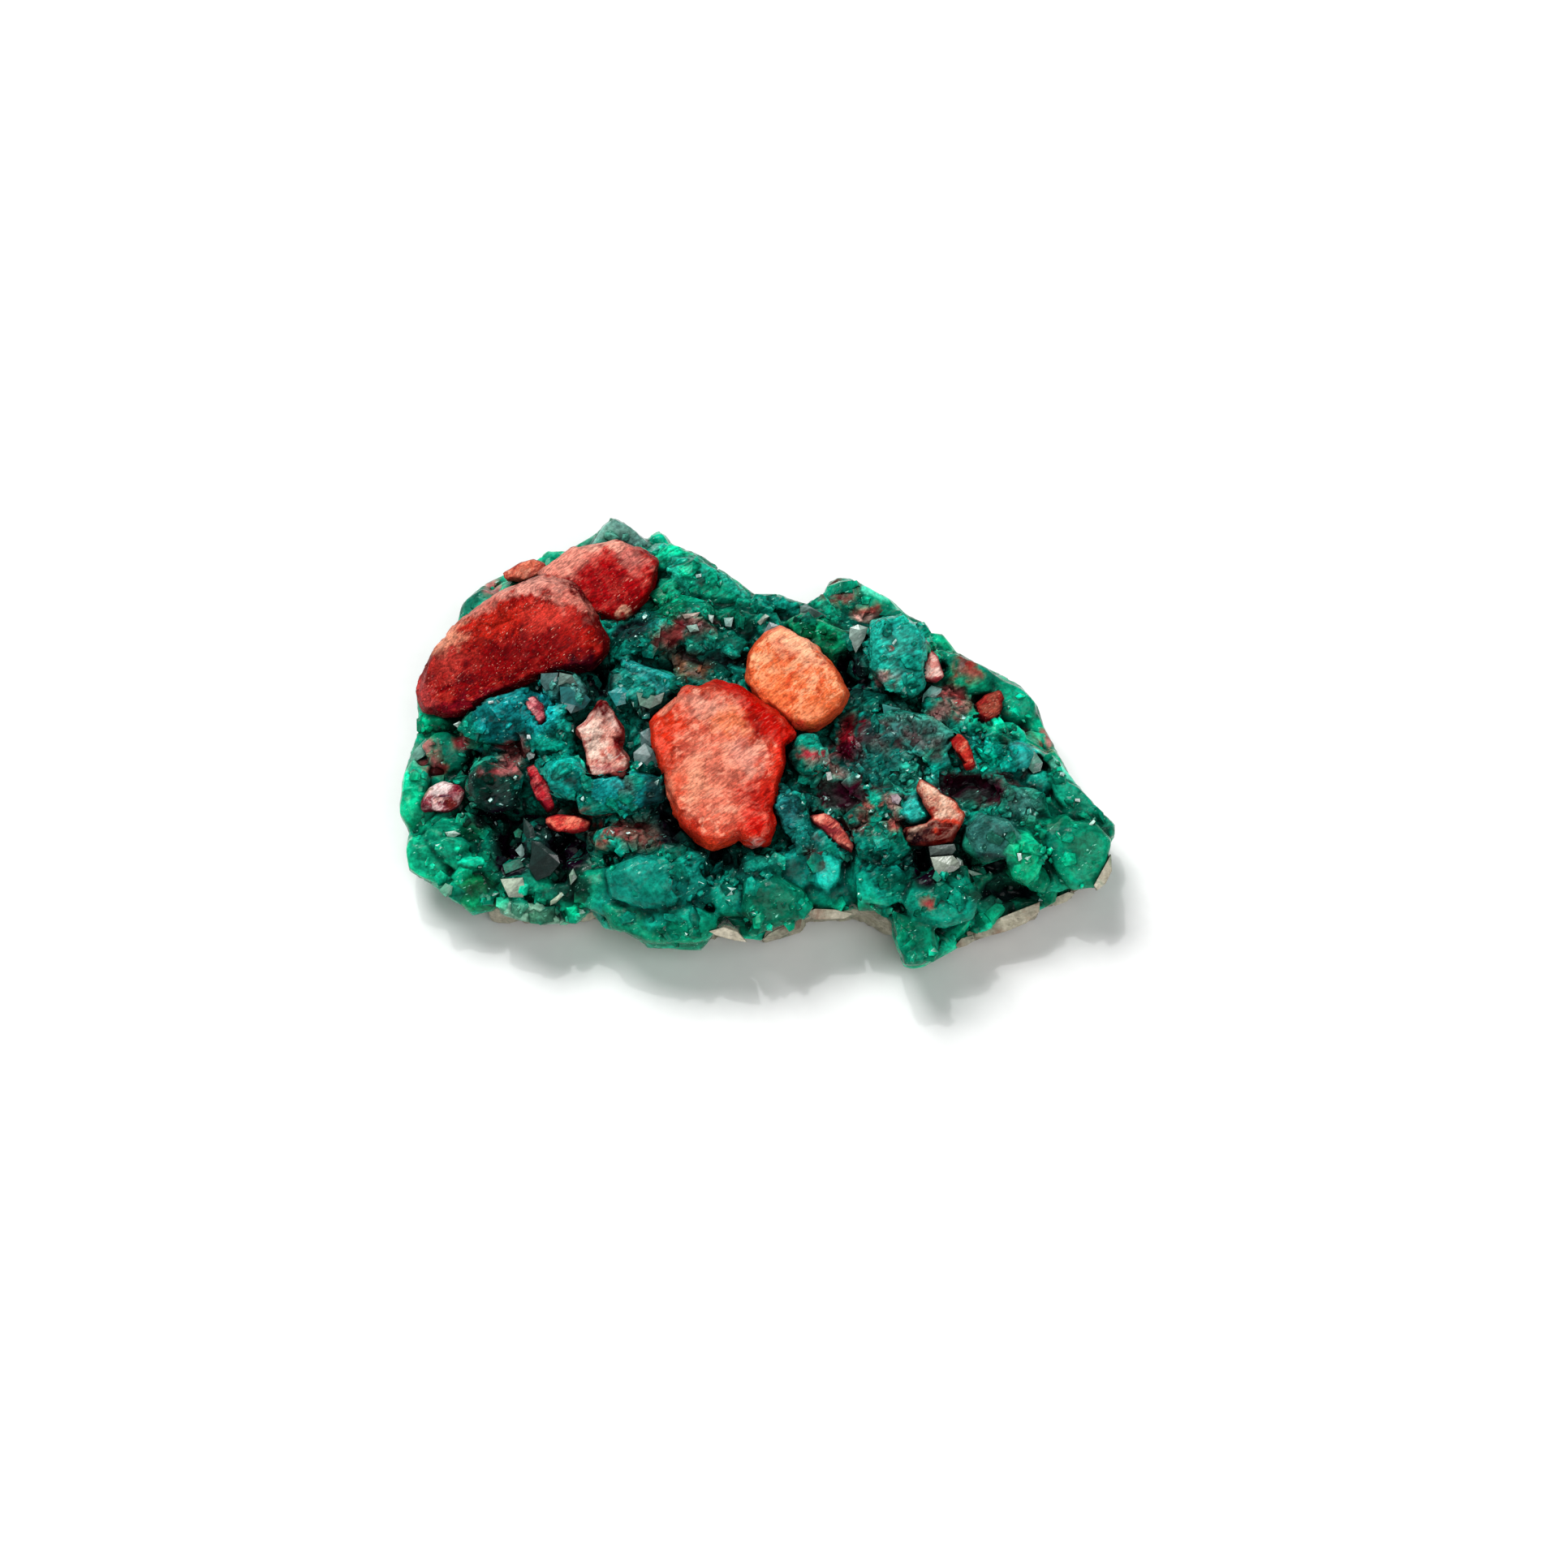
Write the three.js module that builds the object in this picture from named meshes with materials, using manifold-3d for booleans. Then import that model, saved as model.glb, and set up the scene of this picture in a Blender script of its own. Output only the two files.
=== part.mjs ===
// Dioptase on matrix: a crust of emerald dioptase crystals over a low block of host rock, with blades and
// chips of iron-stained calcite set in it. Millimetres, +Z up, resting on the flat foot of the rock.
import * as THREE from "three";
import { ConvexGeometry } from "three/addons/geometries/ConvexGeometry.js";
import { mergeVertices } from "three/addons/utils/BufferGeometryUtils.js";
import Module from "manifold-3d";

const wasm = await Module();
wasm.setup();

// ---------------------------------------------------------------- driving dimensions

const CLEARANCE = 0.35; // between two pieces that grew against each other
const DISPLAY_ANGLE = THREE.MathUtils.degToRad(60); // the specimen is made to be looked at from this far up
const DEPTH_SHIFT = 2.9; // brings the middle of the specimen over the origin
const RIM_HEIGHT = 5; // of the crust's edge above the table
const CROWN_HEIGHT = 12.5; // of the middle of the crust above the table
const CRUST_UNDERSIDE = 2.2; // the crust stops this far above the table
const ROCK_COVER = 4.6; // thickness of the crust over the rock
const ROCK_INSET = 0.86; // the rock's outline as a share of the crust's
const ROCK_FRONT = 18.6; // how far forward the rock's rim comes, which leaves the crust's lobe free
const FOOT_INSET = 0.81; // the foot's outline as a share of the crust's
const RHOMB_SLOPE = 1.233; // fall of a dioptase end face for each unit out from the axis
const SINK = 0.6; // how deep the crystals sit in the crust, in radii
const FINEST = 0.15; // slivers of the crust thinner than this are merged into the faces beside them
const SHORTEST_EDGE = 0.03; // left on any piece once it is cut
const BED_SINK = 0.4; // the crust between the crystals lies this far below its height
const BED_UNEVENNESS = 0.8; // and rises and falls by this much
const CROWN_FALL = 2.2; // the higher, the flatter the crust's crown and the steeper its rim
const SWELL_FADE = 4; // the higher, the nearer to the rim the swells reach
const TUMBLE = 0.7; // how far the crystals lean out of the crust's normal
const HOLLOW_MOUTH = 1.25; // a hollow's radius at its mouth and at its floor, in radii
const HOLLOW_FLOOR = 0.6;
const DRUSE_COUNT = 14; // small crystals strewn over the crust
const ROCK_SHOULDER = 0.8; // the rock's rim above the crust's underside

// A calcite plate from its face down: share of the outline, level in half thicknesses, share of the
// margin, unevenness.
const PLATE_PROFILE = [
  [0.45, 1, 1, 0.12],
  [0.78, 0.92, 1, 0.24],
  [0.94, 0.6, 1, 0.2],
  [1, -0.1, 0.5, 0],
  [0.92, -1, -0.5, 0],
];
const PLATE_ROOT = 0.76; // the root's outline as a share of the plate's

// The outline as it is seen from the display direction, anticlockwise from the right: across, up.
const OUTLINE = [
  [29.3, -7.9], [29.3, -6.8], [27.8, -5.5], [25.8, -3.1], [24.6, -0.8], [23.7, 0.9], [23.1, 2.9],
  [21.8, 4.5], [20.1, 5.5], [18.5, 6.2], [16.5, 7.3], [15.3, 8.9], [14.3, 8.9], [13.8, 9.9],
  [12.5, 10.4], [11.1, 11.7], [8.5, 13.1], [7.1, 13.9], [6.0, 13.4], [5.4, 12.2], [4.1, 11.3],
  [1.5, 12.2], [-0.2, 12.2], [-1.5, 13.2], [-3.2, 14.4], [-4.9, 15.5], [-7.0, 16.3], [-7.6, 17.2],
  [-8.3, 17.6], [-9.3, 16.8], [-11.2, 18.3], [-12.2, 18.6], [-13.5, 17.2], [-15.9, 15.8],
  [-17.5, 15.9], [-18.5, 15.0], [-20.9, 14.0], [-22.7, 13.1], [-24.5, 11.5], [-25.0, 9.5],
  [-27.1, 6.5], [-28.1, 3.7], [-28.0, 0.5], [-29.1, -2.8], [-29.3, -5.1], [-29.3, -6.1],
  [-28.5, -7.5], [-28.7, -8.5], [-28.5, -10.6], [-24.2, -13.3], [-23.2, -14.3], [-21.4, -13.9],
  [-19.5, -14.7], [-16.9, -15.1], [-14.7, -15.0], [-13.5, -13.9], [-12.5, -15.3], [-10.2, -15.7],
  [-8.9, -16.9], [-4.5, -17.1], [-3.5, -15.8], [-1.5, -16.1], [0.5, -16.3], [2.8, -15.5],
  [3.7, -14.5], [5.8, -14.5], [8.2, -14.2], [9.6, -14.6], [11.9, -17.9], [12.6, -18.6],
  [13.8, -18.3], [16.5, -16.8], [17.8, -15.9], [20.8, -14.8], [23.0, -13.9], [24.5, -13.1],
  [27.5, -12.1], [28.6, -10.8], [28.7, -8.8],
];

// Broad swells and dips of the crust: across, up, reach, rise.
const SWELLS = [
  [-15, 10, 8, 2.6],
  [12, 6, 6, 1.6],
  [-20, -9, 5, -2.4],
  [-14, -9, 3, -1.8],
  [20, -12, 4, -2.0],
  [6, 4, 4, -2.0],
];

// Hollows between the crystals: across, up, radius, depth.
const HOLLOWS = [
  [-13.0, 5.0, 1.7, 2.6], [-21.6, -6.4, 1.6, 2.8], [-19.0, -6.6, 1.7, 2.8], [-19.8, -9.4, 2.0, 3.0],
  [-15.2, -9.0, 2.1, 3.0], [-7.4, 6.2, 1.8, 2.4], [-1.8, 6.2, 1.4, 2.6], [8.0, 5.2, 2.0, 2.8],
  [13.2, -9.4, 1.5, 3.0], [12.6, -11.4, 1.2, 2.6], [20.4, -12.4, 2.2, 2.8], [-6.8, -8.6, 1.8, 2.4],
  [-1.8, -9.6, 1.3, 2.2], [3.6, -4.6, 1.3, 2.4], [12.2, 2.8, 1.8, 2.2], [-22.2, -1.2, 1.4, 2.4],
  [17.4, -3.8, 2.4, 1.6], [-10.0, 2.2, 1.3, 2.2], [-8.2, -3.0, 1.4, 2.4], [6.8, -3.4, 1.6, 1.6],
];

// Ledges of bare rock under the crust's lower edge: across, up, width, height, rise towards the right.
const LEDGES = [
  [20.4, -14.7, 5.4, 1.4, 0.9], [5.8, -13.9, 4.4, 1.3, 0.1], [2.1, -15.2, 3.2, 1.5, 0.5],
  [-2.4, -15.4, 3.1, 1.7, 0.0], [-19.0, -14.0, 6.4, 1.7, -0.1], [24.8, -12.6, 2.2, 1.3, 0.4],
  [27.0, -10.9, 2.8, 2.2, 0.5], [16.8, -15.9, 1.8, 1.4, 0.5],
];

// Dioptase crystals: across, up, radius, lift of their middle above the crust, length in radii.
const RIM_CRYSTALS = [
  [-25.8, 1.4, 1.9, 0.6, 1.2], [-22.6, 10.1, 2.1, 0.4, 1.2], [-19.5, 11.8, 1.9, 0.2, 1.1],
  [-16.3, 13.9, 1.7, 0.6, 1.2], [-12.0, 15.3, 3.0, 0.8, 1.3], [-9.7, 13.9, 2.2, 0.2, 1.2],
  [-7.8, 14.9, 1.3, 1.0, 1.3], [-6.0, 12.6, 2.7, 0.2, 1.2], [-3.3, 10.9, 2.6, 0.2, 1.2],
  [-5.4, 9.2, 2.6, 0.4, 1.2], [-1.2, 9.0, 2.7, 0.4, 1.2], [1.5, 9.7, 2.2, 0.0, 1.2],
  [3.9, 8.4, 2.0, 0.0, 1.2], [6.9, 11.2, 2.0, 0.6, 1.2], [8.9, 10.1, 2.5, 0.2, 1.2],
  [11.6, 8.4, 2.1, 0.4, 1.2], [14.3, 7.1, 1.9, 0.4, 1.2], [16.4, 5.0, 2.2, 0.3, 1.2],
  [19.9, 3.0, 2.7, 0.4, 1.2], [21.8, 0.8, 2.1, 0.2, 1.2], [23.2, -1.9, 2.1, 0.3, 1.2],
  [24.9, -4.8, 2.5, 0.4, 1.2], [26.6, -7.0, 2.0, 0.4, 1.3], [25.3, -9.5, 2.8, 0.2, 1.2],
  [22.8, -7.6, 2.7, 0.6, 1.2], [20.8, -9.1, 1.9, 1.6, 1.5], [13.7, -12.9, 3.2, 0.8, 1.2],
  [12.4, -16.0, 2.1, 0.2, 1.3], [15.4, -14.8, 1.8, 0.2, 1.2], [9.3, -11.8, 2.4, 0.0, 1.2],
  [5.6, -11.4, 2.7, 0.4, 1.2], [1.5, -12.5, 3.2, 0.4, 1.2], [-2.3, -12.9, 2.6, 0.2, 1.2],
  [-6.2, -13.7, 2.8, 0.3, 1.2], [-9.1, -14.2, 2.0, 0.0, 1.2], [-7.1, -10.4, 3.5, 0.6, 1.1],
  [-11.0, -12.2, 2.9, 0.4, 1.2], [-14.3, -12.9, 1.7, 0.2, 1.2], [-17.8, -12.3, 2.6, 0.2, 1.4],
  [-21.0, -12.0, 2.0, 0.2, 1.2], [-23.5, -11.4, 2.5, 0.2, 1.2], [-25.7, -8.9, 2.6, 0.2, 1.2],
  [-27.3, -5.6, 1.9, 0.4, 1.3], [-27.5, -2.9, 1.8, 0.4, 1.4], [-26.2, -0.6, 1.5, 0.4, 1.3],
];
const INNER_CRYSTALS = [
  [-15.4, 3.9, 2.4, 1.4, 1.3], [-21.0, 1.6, 3.1, 1.2, 1.2], [-18.6, 2.0, 2.7, 1.4, 1.2],
  [-16.6, 0.4, 2.9, 1.0, 1.2], [-15.8, -2.9, 2.6, 1.2, 1.1], [-21.2, -3.6, 2.7, 1.6, 1.1],
  [-12.4, -4.6, 2.2, 0.8, 1.3], [-9.8, -4.2, 2.4, 1.0, 1.2], [-9.8, 4.0, 2.6, 0.6, 1.2],
  [-9.0, 8.2, 2.4, 0.4, 1.2], [-12.0, 7.4, 1.8, -0.4, 1.2], [-6.2, 7.8, 1.7, 0.0, 1.2],
  [-3.4, 7.8, 2.0, 0.2, 1.3], [4.6, 7.6, 2.6, 0.2, 1.2], [1.0, 8.6, 1.3, 1.4, 1.6],
  [8.1, 8.3, 1.1, 1.2, 1.6], [11.6, 6.8, 3.2, 1.4, 1.2], [9.8, 1.0, 2.5, 0.2, 1.1],
  [9.2, -1.8, 2.6, 0.2, 1.1], [12.8, -0.8, 2.7, 0.4, 1.1], [15.8, 1.8, 2.0, 0.2, 1.2],
  [18.6, -0.6, 2.4, 0.3, 1.1], [20.6, -1.6, 2.5, 0.8, 1.2], [4.2, -1.6, 1.7, 0.8, 1.4],
  [2.6, -6.4, 1.3, 0.8, 1.5], [5.2, -9.2, 2.4, 0.4, 1.2], [6.4, -4.0, 2.2, 0.4, 1.2],
  [9.8, -5.4, 2.5, 0.5, 1.2], [9.4, -9.0, 2.2, 0.2, 1.2], [0.0, -10.8, 2.5, 0.4, 1.2],
  [15.2, -9.8, 1.6, 1.2, 1.5], [18.8, -8.0, 2.8, 1.4, 1.2], [20.6, -4.9, 2.4, 0.6, 1.2],
  [-17.4, -8.4, 1.7, 1.0, 1.9], [-19.6, -11.4, 1.6, 1.4, 1.6], [-23.0, -9.6, 2.0, 0.6, 1.4],
  [-25.6, -7.2, 2.2, 0.4, 1.2], [-24.8, -1.0, 2.2, 0.4, 1.2], [-11.2, -8.0, 2.5, 0.4, 1.2],
  [-6.0, -9.4, 1.6, 0.2, 1.3], [18.4, -11.6, 1.2, 0.2, 1.4], [22.2, -12.0, 1.5, 0.0, 1.4],
  [-13.2, -9.8, 1.3, 0.2, 1.5],
];

// Calcite plates: outline across and up, lift of their middle above the crust, thickness, depth of
// their root in the crust, and how far they come forward for each millimetre across and up. The
// foremost come first.
const PLATES = {
  calcite_blade_small: {
    outline: [
      [7.5, 3.7], [6.5, 5.5], [5.5, 6.9], [4.5, 8.1], [2.7, 8.9], [2.0, 9.3], [0.8, 8.8],
      [-0.2, 7.8], [-0.9, 6.7], [-1.0, 5.2], [-0.2, 3.5], [1.2, 2.3], [3.1, 1.0], [4.5, 0.7],
      [5.8, 1.5], [6.8, 2.5],
    ],
    lift: 2.2, thickness: 3.8, root: 2.5, slope: [0.05, -0.12],
  },
  calcite_blade_left_front: {
    outline: [
      [-12.2, 8.3], [-13.0, 10.1], [-13.7, 11.4], [-15.3, 12.7], [-17.2, 13.4], [-19.0, 12.9],
      [-21.3, 12.0], [-23.5, 10.6], [-25.0, 9.3], [-26.3, 7.5], [-27.4, 5.7], [-28.1, 3.9],
      [-27.7, 2.6], [-25.9, 1.8], [-23.8, 2.1], [-22.2, 3.4], [-19.3, 4.3], [-17.5, 5.2],
      [-15.5, 5.4], [-13.2, 5.9], [-12.3, 7.1],
    ],
    lift: 1.9, thickness: 4.0, root: 2, slope: [0.16, -0.1],
  },
  calcite_blade_centre: {
    outline: [
      [3.2, 0.5], [2.1, 1.9], [0.1, 3.4], [-1.9, 4.6], [-3.4, 4.9], [-4.7, 4.5], [-5.8, 4.7],
      [-6.7, 3.5], [-7.9, 2.5], [-8.7, 1.5], [-8.7, 0.2], [-7.7, -2.8], [-7.3, -4.8], [-6.7, -6.1],
      [-5.7, -7.3], [-4.5, -8.5], [-3.3, -8.9], [-2.0, -8.5], [-1.5, -7.9], [-0.9, -8.6],
      [-0.2, -8.9], [1.0, -8.5], [1.5, -7.0], [1.2, -5.5], [1.8, -4.1], [2.2, -2.1], [2.4, -0.3],
    ],
    lift: 0.8, thickness: 4.0, root: 1.5, slope: [-0.08, -0.14],
  },
  calcite_blade_left_back: {
    outline: [
      [-8.2, 14.8], [-9.4, 15.7], [-11.1, 16.5], [-13.6, 16.1], [-15.3, 15.9], [-16.7, 14.9],
      [-17.9, 13.8], [-16.2, 11.9], [-14.2, 10.9], [-12.5, 9.9], [-11.0, 9.8], [-9.4, 11.0],
      [-8.7, 12.2], [-8.4, 13.4],
    ],
    lift: 0.6, thickness: 3.4, root: 1.5, slope: [0.05, -0.1],
  },
  calcite_block: {
    outline: [
      [-10.9, -0.1], [-11.0, 1.1], [-11.8, 2.1], [-12.5, 2.9], [-13.3, 2.6], [-14.2, 1.8], [-14.7, 1.0],
      [-13.8, -1.1], [-13.6, -2.9], [-12.3, -3.0], [-10.7, -2.9], [-10.5, -2.0],
    ],
    lift: 0.6, thickness: 3.0, root: 1.5, slope: [0.0, -0.1],
  },
  calcite_curl: {
    outline: [
      [17.6, -1.5], [17.3, -0.4], [16.5, 0.3], [15.9, 0.1], [16.3, -0.8], [16.7, -1.7], [17.3, -2.3],
    ],
    lift: 0.7, thickness: 1.6, root: 1, slope: [0, 0],
  },
  calcite_lens: {
    outline: [
      [-13.9, -6.7], [-15.0, -6.3], [-16.2, -6.4], [-16.8, -6.9], [-16.3, -7.2], [-15.2, -7.4],
      [-14.1, -7.2],
    ],
    lift: 0.6, thickness: 1.8, root: 1, slope: [0, 0],
  },
  calcite_knob: {
    outline: [
      [-24.3, -4.1], [-25.1, -3.5], [-26.2, -3.3], [-27.3, -4.1], [-27.6, -5.5], [-26.9, -5.7],
      [-25.9, -5.7], [-24.7, -5.1],
    ],
    lift: 0.8, thickness: 2.4, root: 1, slope: [0, 0],
  },
  calcite_splinter_back: {
    outline: [
      [-17.4, 14.2], [-17.7, 14.7], [-18.5, 15.0], [-19.5, 14.7], [-21.0, 13.8], [-20.7, 13.4],
      [-19.2, 13.3], [-18.5, 13.6],
    ],
    lift: 1.6, thickness: 1.8, root: 1.2, slope: [0, 0],
  },
  calcite_sliver: {
    outline: [
      [7.7, -8.8], [7.3, -7.8], [6.5, -7.0], [5.5, -6.4], [4.5, -5.9], [3.9, -6.0], [4.5, -6.6],
      [5.3, -7.4], [6.2, -8.2], [7.1, -8.9],
    ],
    lift: 0.6, thickness: 1.8, root: 1, slope: [0, 0],
  },
  calcite_teardrop: {
    outline: [
      [15.1, 6.1], [14.6, 7.0], [14.2, 7.7], [13.9, 6.5], [14.0, 5.5], [14.6, 4.9], [15.1, 5.4],
    ],
    lift: 1.2, thickness: 1.8, root: 1, slope: [0, 0],
  },
  calcite_stripe: {
    outline: [
      [-16.8, -5.3], [-17.4, -3.8], [-17.9, -2.8], [-18.5, -2.3], [-18.7, -3.0], [-18.2, -3.9],
      [-17.8, -5.1], [-17.1, -5.7],
    ],
    lift: 0.7, thickness: 1.6, root: 1, slope: [0, 0],
  },
  calcite_scale: {
    outline: [
      [20.2, 3.7], [19.9, 4.3], [18.8, 4.1], [18.0, 3.4], [18.1, 2.7], [18.8, 1.8], [19.5, 2.1],
    ],
    lift: 0.9, thickness: 1.6, root: 1, slope: [0, 0],
  },
  calcite_chip: {
    outline: [
      [-17.2, 1.5], [-17.4, 2.5], [-18.1, 3.4], [-18.7, 3.3], [-18.3, 2.2], [-17.7, 1.2],
    ],
    lift: 1.8, thickness: 1.4, root: 1, slope: [0, 0],
  },
};

// The calcite wedge, a broken block with a ridge: its corners across, up and forward of its middle.
const WEDGE = {
  at: [14.6, -6.2],
  lift: 0.9,
  corners: [
    [-1.1, 3.1, 0.2], [1.3, 1.3, 0.4], [2.5, 0.3, 0.2], [-1.4, 2.4, 1.3], [-0.2, -0.1, 1.9],
    [2.4, -0.1, 1.2], [-2.4, -2.1, -0.2], [-0.3, -2.4, 0.0], [1.5, -2.2, -0.2], [-2.7, -1.1, 0.0],
    [-0.6, 1.6, -1.8], [1.6, 0.2, -1.8], [-1.8, -1.6, -1.8], [1.2, -1.8, -1.8],
  ],
};

const CALCITE_ROUGHNESS = 0.6;
const COLOURS = { dioptase: 0x0b7a5b, rock: 0x8d8577, blade: 0xa8241a, orange: 0xd8693c, pink: 0xd79483 };

// ---------------------------------------------------------------- placing

const ACROSS = new THREE.Vector3(1, 0, 0);
const UP_VIEW = new THREE.Vector3(0, Math.sin(DISPLAY_ANGLE), Math.cos(DISPLAY_ANGLE));
const FORWARD = new THREE.Vector3(0, -Math.cos(DISPLAY_ANGLE), Math.sin(DISPLAY_ANGLE));

// A small repeatable random source, so that every build is the same.
function randomSource(seed) {
  let state = seed;
  return () => {
    state = (state * 1664525 + 1013904223) >>> 0;
    return state / 2 ** 32;
  };
}

// The point that is seen at (across, up) and lies at that height above the table.
function seenAt(across, up, height) {
  const depth = (up - height * Math.cos(DISPLAY_ANGLE)) / Math.sin(DISPLAY_ANGLE);
  return new THREE.Vector3(across, depth + DEPTH_SHIFT, height);
}

// A point offset from another along the display directions.
function offset(point, across, up, forward) {
  const inView = point.clone().addScaledVector(ACROSS, across).addScaledVector(UP_VIEW, up);
  return inView.addScaledVector(FORWARD, forward);
}

const RIM = OUTLINE.map(([across, up]) => seenAt(across, up, RIM_HEIGHT));

// How far a point lies from the middle, as a share of the way to the rim in plan.
function shareToRim(point) {
  let share = 0;
  RIM.forEach((a, i) => {
    const b = RIM[(i + 1) % RIM.length];
    const area = a.x * b.y - a.y * b.x;
    const alongA = (point.x * b.y - point.y * b.x) / area;
    const alongB = (a.x * point.y - a.y * point.x) / area;
    if (alongA >= 0 && alongB >= 0) share = Math.max(share, alongA + alongB);
  });
  return share;
}

const SWELL_POINTS = SWELLS.map(([across, up, reach, rise]) => ({
  middle: seenAt(across, up, (RIM_HEIGHT + CROWN_HEIGHT) / 2),
  reach,
  rise,
}));

// Height of the crust between its crystals.
function crustHeight(point) {
  const share = Math.min(shareToRim(point), 1);
  let height = RIM_HEIGHT + (CROWN_HEIGHT - RIM_HEIGHT) * (1 - share ** CROWN_FALL);
  for (const { middle, reach, rise } of SWELL_POINTS) {
    const away = Math.hypot(point.x - middle.x, point.y - middle.y) / reach;
    height += rise * Math.exp(-away * away) * (1 - share ** SWELL_FADE);
  }
  return height;
}

// The point of the crust that is seen at (across, up), raised by lift.
function onCrust(across, up, lift) {
  let point = seenAt(across, up, CROWN_HEIGHT);
  for (let i = 0; i < 12; i += 1) point = seenAt(across, up, crustHeight(point) + lift);
  return point;
}

// Which way the crust faces at a point.
function crustNormal(point) {
  const step = 1.5;
  const heightAt = (x, y) => crustHeight(new THREE.Vector3(x, y, point.z));
  const slopeX = heightAt(point.x + step, point.y) - heightAt(point.x - step, point.y);
  const slopeY = heightAt(point.x, point.y + step) - heightAt(point.x, point.y - step);
  return new THREE.Vector3(-slopeX, -slopeY, 2 * step).normalize();
}

// ---------------------------------------------------------------- solids

function solidOf(geometry) {
  const bare = geometry.clone();
  bare.deleteAttribute("normal");
  bare.deleteAttribute("uv");
  const merged = mergeVertices(bare, 1e-4);
  return new wasm.Manifold(
    new wasm.Mesh({
      numProp: 3,
      vertProperties: new Float32Array(merged.attributes.position.array),
      triVerts: new Uint32Array(merged.index.array),
    }),
  );
}

function geometryOf(solid) {
  const { vertProperties, triVerts } = solid.getMesh();
  const geometry = new THREE.BufferGeometry();
  geometry.setAttribute("position", new THREE.BufferAttribute(new Float32Array(vertProperties), 3));
  geometry.setIndex(new THREE.BufferAttribute(new Uint32Array(triVerts), 1));
  const faceted = geometry.toNonIndexed();
  faceted.computeVertexNormals();
  return faceted;
}

// The hull of some points, each first moved out from their middle by a margin.
function hullSolid(points, margin) {
  const middle = new THREE.Vector3();
  points.forEach((point) => middle.addScaledVector(point, 1 / points.length));
  const moved = points.map((point) => {
    const outward = point.clone().sub(middle);
    return outward.setLength(outward.length() + margin).add(middle);
  });
  return solidOf(new ConvexGeometry(moved));
}

// The largest of a solid's separate bodies, without the crumbs and the shortest edges that cutting leaves.
function tidied(solid) {
  const bodies = solid.decompose().sort((a, b) => b.volume() - a.volume());
  return bodies[0].asOriginal().simplify(SHORTEST_EDGE);
}

// Closes a stack of rings, listed from the top down and anticlockwise from above, with a point at each end.
function ringGeometry(top, rings, bottom) {
  const count = rings[0].length;
  const points = [top, ...rings.flat(), bottom];
  const index = [];
  const at = (ring, i) => 1 + ring * count + (i % count);
  for (let i = 0; i < count; i += 1) {
    index.push(0, at(0, i), at(0, i + 1));
    for (let ring = 0; ring + 1 < rings.length; ring += 1) {
      index.push(at(ring, i), at(ring + 1, i), at(ring + 1, i + 1));
      index.push(at(ring, i), at(ring + 1, i + 1), at(ring, i + 1));
    }
    index.push(points.length - 1, at(rings.length - 1, i + 1), at(rings.length - 1, i));
  }
  const geometry = new THREE.BufferGeometry().setFromPoints(points);
  geometry.setIndex(index);
  return geometry;
}

// A rim drawn in to a share of its size, at a height that may depend on the point.
function ringAt(rim, share, heightOf) {
  return rim.map(({ x, y }) => {
    const point = new THREE.Vector3(x * share, y * share, 0);
    point.z = heightOf(point);
    return point;
  });
}

// A coarser ring, with every nth point: the outline's notches are among them.
function everyNth(ring, n) {
  return ring.filter((point, i) => i % n === 1);
}

// A whole dioptase crystal along the axis: a six-sided prism with three faces at each end.
function crystalSolid(middle, axis, spin, radius, length) {
  const half = radius * (length / 2 + RHOMB_SLOPE / 2);
  const turn = new THREE.Quaternion().setFromUnitVectors(new THREE.Vector3(0, 0, 1), axis);
  turn.multiply(new THREE.Quaternion().setFromAxisAngle(new THREE.Vector3(0, 0, 1), spin));
  const points = [new THREE.Vector3(0, 0, half), new THREE.Vector3(0, 0, -half)];
  for (let corner = 0; corner < 6; corner += 1) {
    const angle = (corner * Math.PI) / 3;
    const fallAbove = radius * RHOMB_SLOPE * (corner % 2 ? 0.5 : 1);
    const fallBelow = radius * RHOMB_SLOPE * (corner % 2 ? 1 : 0.5);
    const [x, y] = [radius * Math.cos(angle), radius * Math.sin(angle)];
    points.push(new THREE.Vector3(x, y, half - fallAbove), new THREE.Vector3(x, y, fallBelow - half));
  }
  return hullSolid(points.map((point) => point.applyQuaternion(turn).add(middle)), 0);
}

// An uneven block seen from the display direction, with a front and a back of five corners each.
function blockSolid(front, back, frontRadius, backRadius, random) {
  const points = [];
  for (let corner = 0; corner < 5; corner += 1) {
    const angle = ((corner + 0.5 * random()) * 2 * Math.PI) / 5;
    const [across, up] = [Math.cos(angle), Math.sin(angle)];
    points.push(offset(front, frontRadius * across, frontRadius * up, 0));
    points.push(offset(back, backRadius * across, backRadius * up, 0));
  }
  return hullSolid(points, 0);
}

// ---------------------------------------------------------------- the crust

function crystalOnCrust([across, up, radius, lift, length], random) {
  const middle = onCrust(across, up, lift - SINK * radius);
  const axis = crustNormal(middle);
  axis.x += TUMBLE * (random() - 0.5);
  axis.y += TUMBLE * (random() - 0.5);
  return crystalSolid(middle, axis.normalize(), random() * Math.PI, radius, length);
}

function hollowSolid([across, up, radius, depth], random) {
  const mouth = onCrust(across, up, 2);
  const floor = onCrust(across, up, -depth);
  return blockSolid(mouth, floor, radius * HOLLOW_MOUTH, radius * HOLLOW_FLOOR, random);
}

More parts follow.
